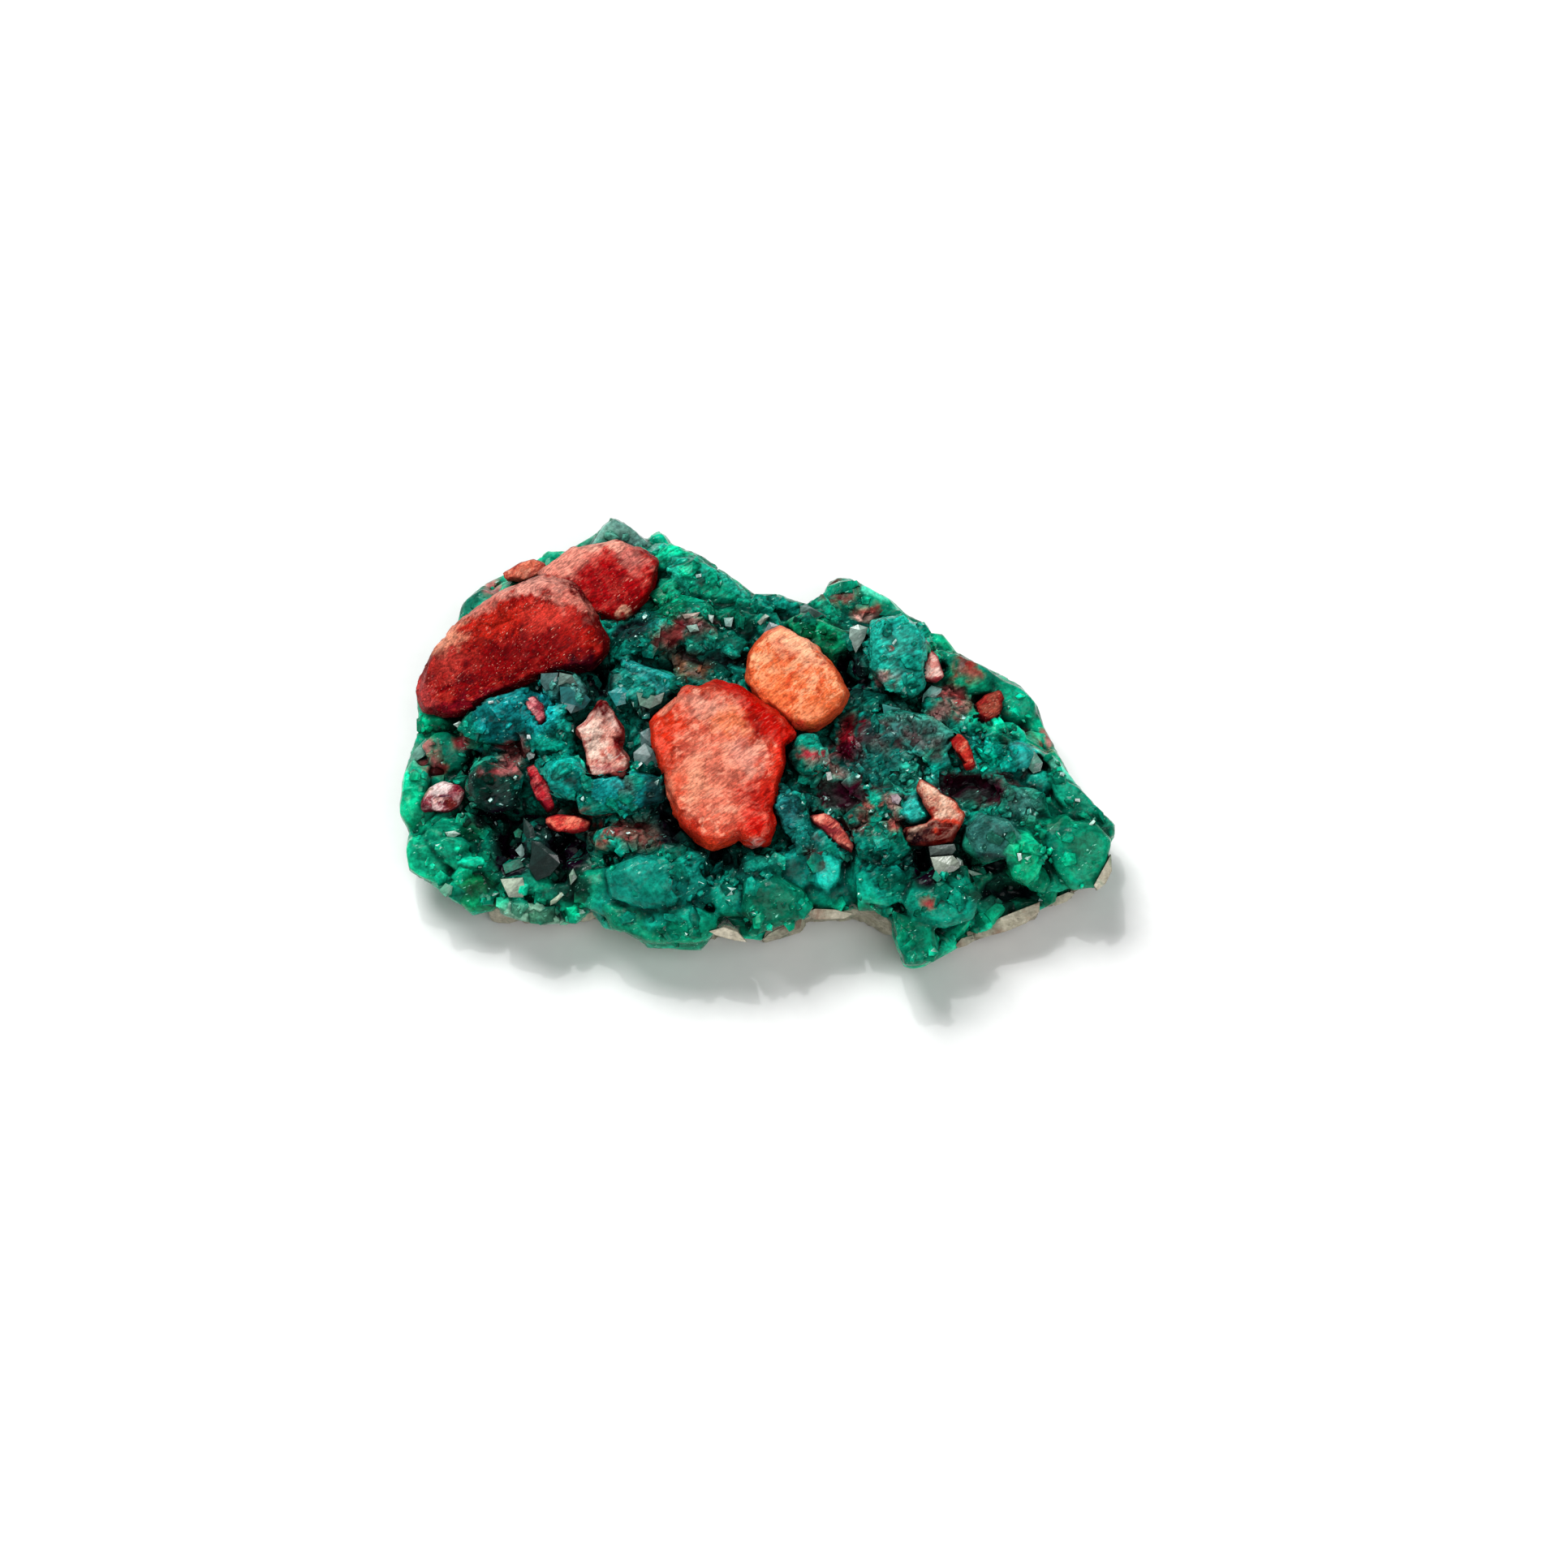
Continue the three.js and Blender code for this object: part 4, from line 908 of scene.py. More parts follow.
# flat-faced crystals: height in mm, bevel in px, rise to the right and upwards in mm per px, colour, outline
FACES = rows("""
1.7 9 0.01 0 #18786e 767,813 786,818 810,826 831,834 843,842 822,862 806,873 790,869 786,854 771,838
2.2 6 -0.01 -0.02 #025436 967,767 986,757 1017,767 1046,780 1048,801 1023,809 1013,801 996,782 975,780
2.4 9 -0.006 0.004 #189684 1072,767 1095,761 1122,767 1139,782 1139,805 1141,824 1138,849 1122,862 1103,855 1084,841 \
    1071,822 1072,797
1.5 6 0 0.01 #068c64 950,730 961,730 984,742 979,751 961,758 950,755
1.6 8 0 0 #087c58 505,1035 539,1037 556,1063 544,1082 509,1070
1.9 6 0 0.02 #06684e 532,1037 553,1030 575,1034 584,1042 568,1056 544,1054
1.3 4 0 0.03 #08ac80 566,1061 584,1054 603,1058 605,1067 591,1068 575,1063
1.7 7 0 0 #021e18 580,955 600,938 622,950 640,960 640,995 612,1003 585,993
1.5 5 0 0.01 #107a70 570,910 600,905 624,925 624,935 600,927 575,921
1.4 5 0 -0.01 #547660 620,1112 636,1110 664,1113 686,1122 695,1136 674,1140 638,1136 619,1124
1.7 7 0 0 #027650 1325,1040 1345,1031 1355,1038 1351,1062 1340,1086 1329,1090 1321,1068
1.2 5 0 0.01 #04704e 1329,1016 1360,1008 1374,1016 1374,1031 1362,1034 1340,1031
0.8 3 0 0 #28705a 1345,1066 1362,1051 1363,1068 1355,1088 1345,1094 1341,1080
1.2 4 0.01 0.03 #4aa48a 1273,921 1297,932 1329,964 1358,999 1347,999 1319,973 1288,942
1.6 4 0 0 #10927e 1000,1052 1018,1050 1036,1062 1034,1084 1018,1096 1004,1090 1008,1072
1.6 5 0.01 0.02 #547e70 712,690 738,640 756,633 778,646 800,668 770,662 740,668
1.5 5 0 0 #00b88a 798,656 812,648 822,654 824,672 812,678 800,672
1.3 8 0 0.01 #06745c 826,684 858,686 880,708 872,728 842,730 824,712
1.5 6 0 0.02 #0e9278 1012,712 1034,704 1052,712 1054,730 1034,742 1014,734
1.3 5 0 0.02 #38947c 1060,716 1098,736 1118,760 1098,762 1066,744
1.5 9 0 0 #069c74 1222,832 1262,842 1284,866 1276,890 1240,896 1216,866
1.4 7 0 0 #066450 1288,1020 1312,1012 1326,1034 1318,1062 1294,1064 1280,1042
2 10 0 -0.006 #04624c 1118,1096 1146,1086 1186,1078 1204,1100 1196,1130 1160,1142 1124,1130 1110,1112
1.9 9 0 -0.01 #045e44 1099,1132 1122,1122 1146,1138 1154,1166 1134,1190 1112,1186 1100,1164
1.9 12 0 0 #085c4c 748,1070 790,1052 850,1060 872,1084 850,1110 796,1118 756,1104
1.5 9 0 -0.01 #066246 740,1110 790,1122 850,1120 880,1136 870,1164 800,1160 756,1142
1.7 9 0 0 #044a36 918,1086 960,1078 992,1098 984,1130 940,1146 914,1122
1.4 7 0 0 #045830 560,1080 596,1078 622,1100 610,1120 580,1124 556,1104
2 7 0 0.005 #087e72 676,940 706,932 726,950 724,976 700,984 678,968
2 9 0.004 0.01 #085252 586,868 640,850 672,872 664,904 620,918 582,902
1.6 6 0 0.01 #0a706a 730,958 776,950 826,962 820,988 770,1000 728,984
1.3 7 0 0 #0aa47c 494,972 508,946 528,944 530,976 524,1016 500,1014
1.5 7 0 0 #149e92 1230,920 1256,912 1276,926 1264,948 1236,952 1222,938
1.9 6 0 0.01 #24544c 1186,1020 1206,1004 1240,1010 1254,1030 1236,1056 1200,1054
1.8 8 0 0 #046246 1290,1030 1312,1012 1345,1012 1366,1034 1362,1066 1345,1092 1318,1096 1296,1070
1.5 6 0 0.01 #087054 1290,952 1326,966 1356,1000 1372,1016 1352,1030 1320,1010 1298,986
2.3 9 0 0 #069668 1240,1032 1262,1024 1278,1040 1278,1072 1262,1090 1244,1082 1236,1056
1.5 8 0 0 #087c56 496,1040 512,1030 548,1038 566,1062 552,1090 520,1086 500,1072
1.4 8 0 0 #0aa074 484,960 500,944 516,948 524,984 520,1020 500,1026 486,996
1.4 8 0 0.01 #14846c 820,700 860,690 900,712 930,740 900,756 850,740
1.2 6 0 0 #0a8262 1160,800 1196,806 1230,834 1222,846 1190,836 1164,820
1.4 7 0 0 #06685a 962,1050 1004,1040 1010,1080 990,1096 960,1084
1.3 7 0 0 #043c2a 700,1060 744,1058 752,1092 730,1112 704,1098
2.2 6 0 0 #1a8476 1118,980 1128,977 1140,996 1145,1004 1136,1014 1118,1016 1106,1002
1.5 6 0 0 #0c7a66 1262,950 1284,948 1294,964 1288,982 1268,984 1258,968
1.6 6 0 0 #047a58 1262,1070 1284,1068 1292,1084 1284,1100 1266,1096
1.4 7 0 0 #067454 812,712 836,708 842,736 836,756 816,752 808,732
1.7 5 0 0 #06705c 714,984 742,978 764,984 762,1000 736,1006 716,1002
1.3 5 0 0 #087a6c 1142,928 1158,924 1172,934 1168,948 1148,950 1138,940
""")
# the middle of each, and how far from there it covers the view both ways
FACE_SPANS = [(*np.mean(face[-1], axis=0), *(np.ptp(np.array(face[-1]), axis=0) * 0.42)) for face in FACES]

# oval, depth in mm; each pit is sunk in the crust and also painted near-black as shade
PITS = rows("""
631 1009 50 12 0 2.6
632 1048 20 30 0 2.6
702 1048 28 22 0 2.8
602 930 14 6 10 1
740 840 18 20 0 2
778 776 20 11 20 1.4
1049 832 20 26 10 2.2
1135 1064 15 28 5 3
1066 905 14 12 0 0.9
828 1022 12 22 20 1.6
705 1090 20 14 0 0.9
1240 1105 32 20 -10 0.9
876 1046 46 12 -35 1.6
812 985 14 32 10 1.6
878 812 44 10 -12 1.4
1098 864 26 7 -20 1.2
1196 972 34 14 0 0.9
1034 980 26 16 -8 0.8
580 960 7 34 0 0.6
620 990 34 8 0 0.8
1216 1062 26 12 0 1.4
1180 1060 10 16 0 1.2
586 1096 22 9 10 0.8
716 900 8 20 0 1
""")
PIT_EDGE = 0.3

# plain stains, parts of the crust whose green differs, and parts stained in ragged spots: oval, colour, strength.
# The parts whose green differs hold painted light and shade too: near-black ones in hollows and gaps where shade
# falls, and bright ones where the surface turns away from the lamps.
STAINS = rows("""
600 722 12 10 0 #b06060 0.8
529 917 6 11 -10 #b06060 0.8
541 944 12 6 0 #96282c 0.8
572 919 10 8 0 #96282c 0.7
637 938 19 12 30 #b06060 0.75
1186 817 7 14 -10 #703a36 0.9
1199 827 11 6 -20 #96282c 0.8
1030 722 10 11 0 #703a36 0.8
1042 733 11 7 20 #703a36 0.85
1100 985 8 8 0 #cd8c82 0.7
1096 1010 8 9 0 #96282c 0.8
1116 1020 6 6 0 #96282c 0.8
1140 1107 7 5 20 #96282c 0.9
1295 912 7 9 20 #b06060 0.8
1156 878 14 10 0 #764242 0.8
1183 868 15 11 -20 #b06060 0.5
1172 851 12 6 15 #b06060 0.7
1040 903 9 26 -15 #8c0a1e 0.9
1048 926 14 10 0 #3c001e 0.8
785 1025 28 14 0 #703a36 0.8
845 815 30 12 -30 #603e30 0.6
1105 800 7 5 20 #96282c 0.85
1088 833 10 8 0 #b06060 0.6
1067 757 14 5 12 #d6a89c 0.9
1076 749 10 4 10 #96282c 0.8
1008 938 16 9 0 #961e32 0.4
1034 948 14 6 -35 #b06060 0.4
1130 900 40 24 -20 #503c42 0.35
1196 972 40 18 0 #420e24 0.75
1034 980 28 18 -8 #420a1a 0.75
826 778 20 8 40 #96282c 0.7
856 764 12 5 20 #b06060 0.6
700 1000 30 5 8 #6e1822 0.6
""")
TINTS_LIGHT_AND_SHADE = rows("""
770 660 70 30 25 #547c70 0.85
690 700 40 22 25 #46786c 0.8
590 735 40 22 30 #328270 0.6
840 700 60 34 -30 #0aa880 0.75
812 660 16 12 0 #00be8c 0.8
900 745 60 22 -20 #0a8c70 0.7
640 880 60 34 12 #0e7c80 0.9
700 845 30 20 -20 #688c8a 0.7
555 950 50 60 0 #0c886c 0.7
540 1065 40 40 0 #0e9c78 0.7
510 985 18 45 0 #0aaa7e 0.85
534 893 20 14 0 #04b280 0.9
512 930 10 14 0 #6ea08c 0.7
614 966 36 26 0 #06463e 0.85
690 960 30 34 0 #0a7c70 0.8
770 985 50 16 0 #086e68 0.7
790 850 34 20 -20 #1e7a70 0.7
800 760 50 14 30 #145c5a 0.8
880 775 40 20 0 #086050 0.7
1010 795 38 32 -30 #025432 0.95
1010 735 44 22 -20 #0a8060 0.7
1108 810 44 50 0 #189c8a 0.95
1180 810 50 40 -30 #068e64 0.7
1240 880 50 50 -30 #049674 0.7
1110 930 90 50 0 #1c706a 0.7
1230 935 40 26 -20 #0e9c8e 0.75
1262 990 24 24 0 #54807a 0.7
1262 938 13 13 0 #8ca89c 0.6
1330 1010 46 60 -20 #089472 0.75
1216 1032 34 26 0 #325c54 0.8
1258 1058 20 34 0 #069e70 0.9
1160 1110 46 44 0 #0a846e 0.8
1125 1165 34 30 0 #088064 0.8
1018 1072 20 24 0 #18b29a 0.85
1070 1070 60 40 0 #0c7c70 0.6
900 1090 70 40 0 #0e7068 0.7
800 1110 80 50 10 #107468 0.75
690 1110 40 22 10 #1e7860 0.6
655 1126 38 13 -6 #587a64 0.8
575 1060 36 20 0 #0a8c6c 0.5
668 1045 24 40 -25 #285450 0.7
1236 1100 40 30 -10 #043e30 0.9
1098 1086 22 16 0 #025240 0.9
1122 1112 14 14 0 #024e38 0.9
796 878 14 12 0 #3c8478 0.9
798 844 16 12 0 #0e6056 0.9
766 966 14 12 0 #54605c 0.8
676 1022 14 12 0 #141818 0.9
1308 966 18 18 -40 #22c4a0 0.8
976 996 14 16 0 #103636 0.8
1246 876 26 18 0 #0ad6a8 0.95
1186 1144 16 12 0 #08b68a 0.8
826 1146 22 14 0 #026046 0.8
886 756 22 12 0 #0ea07c 0.8
946 1056 16 14 0 #1e8472 0.8
612 1088 14 12 0 #063e24 0.9
520 1002 14 13 0 #1a9270 0.9
1346 1080 26 22 0 #026446 0.9
856 697 20 14 0 #04745c 0.9
1246 904 16 14 0 #045040 0.9
976 936 9 16 0 #100210 0.8
1126 1146 20 14 0 #04a074 0.9
1038 1056 14 13 0 #0e382e 0.8
1276 1084 14 16 0 #04be8c 0.9
856 786 16 12 0 #0c4c40 0.8
706 1114 16 14 0 #06dca4 0.95
588 1086 20 12 0 #024622 0.9
588 1026 20 14 0 #02361c 0.9
615 966 28 26 0 #021c14 0.9
1128 1000 18 24 -20 #169686 0.95
1120 962 26 20 0 #2c9684 0.9
1156 936 22 18 0 #08baa2 0.9
1214 938 24 16 0 #04c4a6 0.9
1276 964 20 18 0 #0e9882 0.9
740 992 38 10 0 #04886e 0.9
706 934 26 18 0 #0a9c88 0.9
674 965 20 16 0 #367c70 0.7
824 738 24 26 0 #06926a 0.9
704 1088 24 20 0 #043224 0.8
826 1024 14 20 0 #100210 0.9
1066 905 18 14 0 #100210 0.6
945 1116 34 22 0 #02543c 0.8
975 1010 26 60 30 #226064 0.7
1000 1020 30 20 0 #0a786e 0.5
""")
STAIN_FIELDS = rows("""
1040 982 54 24 12 #3a0416 1
1196 970 56 22 0 #3a0416 1
1100 988 30 9 20 #3a0416 0.7
1110 910 60 24 -15 #5c1e2a 0.45
1176 868 24 15 -20 #923234 0.95
1224 876 14 14 0 #961e1e 0.8
1188 822 16 20 -30 #821e1e 0.95
1012 940 28 16 0 #a02432 0.9
1048 905 16 34 -15 #6e041a 1
1040 930 22 18 0 #3a0416 0.9
1070 1000 34 9 20 #a0463c 0.6
1030 1036 44 20 40 #540818 0.9
1088 1015 22 12 20 #822424 0.7
1290 915 14 20 20 #8c3c3e 0.8
1256 906 16 10 0 #5a0a28 0.7
1256 960 20 16 0 #3a0416 0.6
785 1028 44 16 0 #6e1e24 0.9
736 1010 50 5 3 #781822 0.8
740 1030 22 12 0 #822224 0.8
626 934 34 16 30 #8c3238 0.8
574 920 14 10 0 #822830 0.8
530 930 16 22 0 #a0464a 0.7
848 815 42 16 -30 #683c28 0.8
826 778 30 12 40 #781822 0.8
870 768 30 10 10 #5a282c 0.6
800 905 12 40 0 #5a141e 0.5
1096 836 14 12 0 #782c3c 0.6
1034 726 22 16 10 #681e24 0.9
1076 750 24 8 10 #a03c38 0.7
""")

ROOT = 1.6  # how far the drawn crystals reach down into the crust, in mm
BED_VOXEL, SKIN_VOXEL = 0.3, 0.2  # in mm
SKIN_TRIANGLES = 190000
SKIN_SUNK = 0.09  # how far the joining skin lies under the crystals' faces, in mm
UNDER_CALCITE = 0.15  # how far the skin stays under a calcite that shows, in mm
DRUSE_ROOT = -0.45  # where the sharp crystals are cut off below their bases, in mm
DRUSE_EDGE = 1.1  # the longest edge of a sharp crystal, in mm, so that its colours have enough corners
GLINT_SHARE = 0.05
SECTORS = 90  # directions in which the crust's reach is known

# strewn crystals: step in px, half widths in px, heights in mm, the share that stays bare on the open crust, and that
# at its rim and on its drawn crystals
COARSE = (17, (6, 15), (0.08, 0.5), 0.25, 0.72)
FINE = (11, (2.5, 6.5), (0.05, 0.28), 0.4, 0.84)
COARSE_SEED, FINE_SEED, TONE_SEED, SHADE_SEED, CRYSTAL_SEED = 7, 29, 19, 23, 41

# how far inside the outline each second pixel of the view lies, and which way that grows
HALVES = np.arange(FRAME_PX // 2)
INSET = inside_outline(*[g.ravel().astype(float) for g in np.meshgrid(HALVES, HALVES)],
                       np.array(OUTLINE_PX) / 2).reshape(len(HALVES), len(HALVES)) * 2
INSET_SLOPES = np.gradient(INSET)


def inset(x, y, table=INSET):
    column, row = (np.clip(np.rint(np.asarray(value) / 2).astype(int), 0, len(INSET) - 1) for value in (x, y))
    return table[row, column]


def held_inside(corners, middle):
    """Corners pulled towards the middle, along the view plane, until they are displayed within the outline."""
    held = np.array(corners)
    sideways = held - middle
    sideways -= np.outer(sideways @ TOWARD, TOWARD)
    for _ in range(8):
        out = inset(*displayed(held)) <= 0
        held[out] -= 0.12 * sideways[out]
    return list(held)


def trimmed(points):
    """Points moved along the view plane, the shortest way, until they are displayed within the outline."""
    held = points.copy()
    for _ in range(3):
        x, y = displayed(held)
        past = 1.0 - inset(x, y)
        out = past > 1.0
        way = np.stack([inset(x[out], y[out], INSET_SLOPES[1]), inset(x[out], y[out], INSET_SLOPES[0])], axis=1)
        way *= (past[out] / PX_PER_MM / np.maximum(np.linalg.norm(way, axis=1), 1e-6))[:, None]
        held[out] += np.outer(way[:, 0], RIGHT) - np.outer(way[:, 1], UP)
    return held


def sector(points):
    """The number of the direction, round the specimen, in which each point lies."""
    return ((np.arctan2(points[:, 1], points[:, 0]) + math.pi) / (2 * math.pi) * SECTORS).astype(int) % SECTORS


def rim_share(points):
    """From 0 in the middle of the specimen to 1 at its rim."""
    return smooth(0.7, 0.95, np.hypot(points[:, 0], points[:, 1]) / REACH[sector(points)])


def crust_bed():
    """The crust without its crystals: the modelled one worn smooth, sunk a little and with its pits in."""
    mesh = remeshed("crust_bed", [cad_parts["dioptase_crust"].data], BED_VOXEL)
    points = relaxed(mesh, points_of(mesh), 45, 0.7)
    normals = put_points(mesh, points)
    x, y = displayed(points)
    facing = facing_share(normals)
    sunk = 0.55 + 0.25 * layered(points, 2.5, 2, 40)
    for *oval, depth in PITS:
        sunk = sunk + depth * patch(x, y, oval, PIT_EDGE)
    side = 0.35 * (1 - facing) * outer_share(normals)
    put_points(mesh, trimmed(points - TOWARD * (sunk * facing)[:, None] - normals * side[:, None]))
    return mesh


def rim_blocks(blocks, random, tree):
    """A crystal on each side of the outline, with its outer faces on that outline."""
    for first, second in zip(np.array(OUTLINE_PX), np.roll(OUTLINE_PX, -1, axis=0)):
        run = second - first
        inward = np.array([run[1], -run[0]]) / np.linalg.norm(run)
        half = (first + second) / 2
        if inset(*(half + inward * 5)) <= 0:
            inward = -inward
        deep = random.uniform(20, 38)
        level = seen_level(tree, *(half + inward * 12))
        if level is None:
            continue
        height = random.uniform(0.2, 0.9)
        inner = [first + run * random.uniform(-0.15, 0.1) + inward * deep,
                 second + run * random.uniform(-0.1, 0.15) + inward * deep * random.uniform(0.7, 1.2)]
        corners = []
        for edge, share in ((first, random.uniform(0.0, 0.3)), (second, random.uniform(0.0, 0.3))):
            corners += [view_point(*edge, level - ROOT), view_point(*edge, level + height * (share - 0.3)),
                        view_point(*(edge + inward * 5), level + height * (0.5 + share))]
        for edge in inner:
            corners += [view_point(*edge, level - ROOT), view_point(*edge, level + height * random.uniform(0.6, 1.0))]
        blocks.add(corners, view_point(*(half + inward * 12), level), TOWARD)


def face_blocks(blocks, random, tree):
    """The drawn flat-faced crystals."""
    for height, bevel, rise_right, rise_up, tone, outline in FACES:
        centre = np.mean(outline, axis=0)
        levels = [seen_level(tree, *spread(centre, MIDDLE, share)) for share in (0, 0.05, 0.1, 0.15)]
        level = next(found for found in levels if found is not None)
        size = np.ptp(np.array(outline), axis=0).mean() / 2
        top_share = max(0.3, 1 - bevel / size)
        corners = []
        for corner in outline:
            top = level + height + risen(centre, corner, rise_right, rise_up)
            drop = random.uniform(0.25, 0.6) * min(height, 1.4)
            corners += [view_point(*spread(centre, corner, top_share), top), view_point(*corner, top - drop),
                        view_point(*spread(centre, corner, 1.03), level - ROOT)]
        base = view_point(*centre, level)
        blocks.add(held_inside(corners, base), base, TOWARD, tone)


def lump_blocks(blocks, random, tree):
    """The masses, which melt into the skin."""
    for cx, cy, wide, high, turn, height in LUMPS:
        level = seen_level(tree, cx, cy)
        if level is None:
            continue
        across, up = turned(RIGHT, UP, math.radians(turn))
        corners = 6 if max(wide, high) < 30 else 7
        blocks.grow(random, view_point(cx, cy, level), TOWARD, across * wide / PX_PER_MM, up * high / PX_PER_MM,
                    height, corners, 0.12, random.uniform(0, 1), False)


def hidden_blocks(blocks, random, bed):
    """Crystals round the sides that the view doesn't show."""
    points, normals = points_of(bed), normals_of(bed)
    hidden = (normals @ TOWARD < 0.3) & (normals[:, 2] > -0.45)
    taken = set()
    for index in random.permutation(len(points)):
        place = tuple(np.floor(points[index] / 2.0).astype(int))
        if not hidden[index] or place in taken or inset(*displayed(points[index])) < 14:
            continue
        taken.add(place)
        normal = normals[index]
        across = np.cross(normal, [0, 0, 1.0])
        across /= max(np.linalg.norm(across), 1e-6)
        across, up = turned(across, np.cross(normal, across), random.uniform(0, math.pi))
        wide, high = random.uniform(0.8, 1.8, 2)
        blocks.grow(random, points[index], normal, across * wide, up * high, random.uniform(0.3, 0.9), 6, 0.3)


def strew(blocks, random, tree, step, widths, heights, bare, bare_rim):
    """Crystals all over the side that shows."""
    for y in np.arange(*SPAN_Y, step):
        for x in np.arange(*SPAN_X, step):
            px, py = x + random.uniform(-0.5, 0.5) * step, y + random.uniform(-0.5, 0.5) * step
            wide, high = random.uniform(*widths, 2) / PX_PER_MM
            height = random.uniform(*heights)
            across, up = turned(RIGHT, UP, random.uniform(0, math.pi))
            axis = TOWARD + random.normal(0, 0.25, 3)
            axis /= np.linalg.norm(axis)
            level = seen_level(tree, px, py)
            inward = float(inset(px, py))
            pit = max(float(patch(px, py, oval, PIT_EDGE)) for *oval, _ in PITS)
            drawn = any(abs(px - cx) < half_x and abs(py - cy) < half_y for cx, cy, half_x, half_y in FACE_SPANS)
            spared = 0.8 if pit > 0.5 else max(bare, bare_rim) if inward < 60 or drawn else bare
            if level is not None and inward >= 6 and random.uniform() >= spared:
                blocks.grow(random, view_point(px, py, level), axis, across * wide, up * high, height, 5, 0.5)


def crust_blocks(bed):
    """The crystals of the crust: drawn ones first, then smaller ones between and larger ones round the sides."""
    random = np.random.default_rng(COARSE_SEED)
    tree = solid_tree([bed])
    blocks = Blocks()
    face_blocks(blocks, random, tree)
    lump_blocks(blocks, random, tree)
    rim_blocks(blocks, random, tree)
    strew(blocks, random, solid_tree([bed, blocks.mesh("large_blocks")]), *COARSE)
    hidden_blocks(blocks, random, bed)
    return blocks


def wobbled(points, by):
    """The view pixels of points, moved about unevenly so that what is drawn there gets a natural edge."""
    x, y = displayed(points)
    return x + by * layered(points, 2.2, 3, 50), y + by * layered(points, 2.2, 3, 51)


def painted(colour, place, table, edge, share):
    """The colour with each oval of a table painted on it, as far as the share says."""
    for *oval, tone, strength in table:
        colour = mixed(colour, tone, strength * patch(*place, oval, edge) * share)
    return colour


def crust_colour(points, facing, rim):
    """The green of the crust, with its painted tints of light and shade, before the shade of its crevices and the
    stains.
    """
    # brighter green towards the rim, partly the crust's own colour and partly painted light shining through its thin
    # edges
    colour = mixed(np.broadcast_to(TEAL, points.shape), BRIGHT, 0.25 + 0.75 * rim)
    colour = mixed(colour, MID, 0.5 * smooth(-0.2, 0.5, layered(points, 3.5, 3, 60)))
    # the parts whose green differs, with their painted light and shade
    colour = painted(colour, wobbled(points, 9), TINTS_LIGHT_AND_SHADE, 0.35, facing)
    blotch = 0.7 + 0.46 * smooth(-0.3, 0.3, layered(points, 1.3, 4, 33))
    return colour * np.array([0.6, 0.94, 0.84]) * blotch[:, None]


def stained(colour, points, facing):
    """The colour with the red stains, and the painted shade of the pits, near-black, on it."""
    place = wobbled(points, 9)
    colour = painted(colour, place, STAINS, 0.3, facing)
    ragged = smooth(0.0, 0.3, layered(points * np.array([0.8, 1.0, 1.0]), 0.7, 3, 90))
    colour = painted(colour, place, STAIN_FIELDS, 0.4, ragged * facing)
    place = wobbled(points, 4)
    # painted shade: the pits darkened towards near-black, the deeper the darker
    for cx, cy, wide, high, turn, depth in PITS:
        inside = patch(*place, (cx, cy, wide * 1.15, high * 1.15, turn), PIT_EDGE) * facing
        colour = mixed(colour, PIT_SHADE_BLACK, min(1.0, 0.35 + depth * 0.3) * inside)
    return np.clip(colour, 0, 1)


def block_tones(colour, blocks, block, share):
    """The colour with each crystal's own tone and depth, as far as the share says."""
    drawn = np.array([tone is not None for tone in blocks.tones])
    tones = np.array([np.zeros(3) if tone is None else tone for tone in blocks.tones])
    colour = mixed(colour, tones[block] * 1.35, 0.8 * drawn[block] * share)
    random = np.random.default_rng(TONE_SEED)
    own = 1 + (random.uniform(0.5, 1.35, len(tones))[block] - 1) * share
    cooler = random.uniform(0, 0.5, len(tones))[block] * share
    colour = colour * own[:, None]
    return mixed(colour, colour * np.array([1.0, 0.84, 1.04]), cooler)


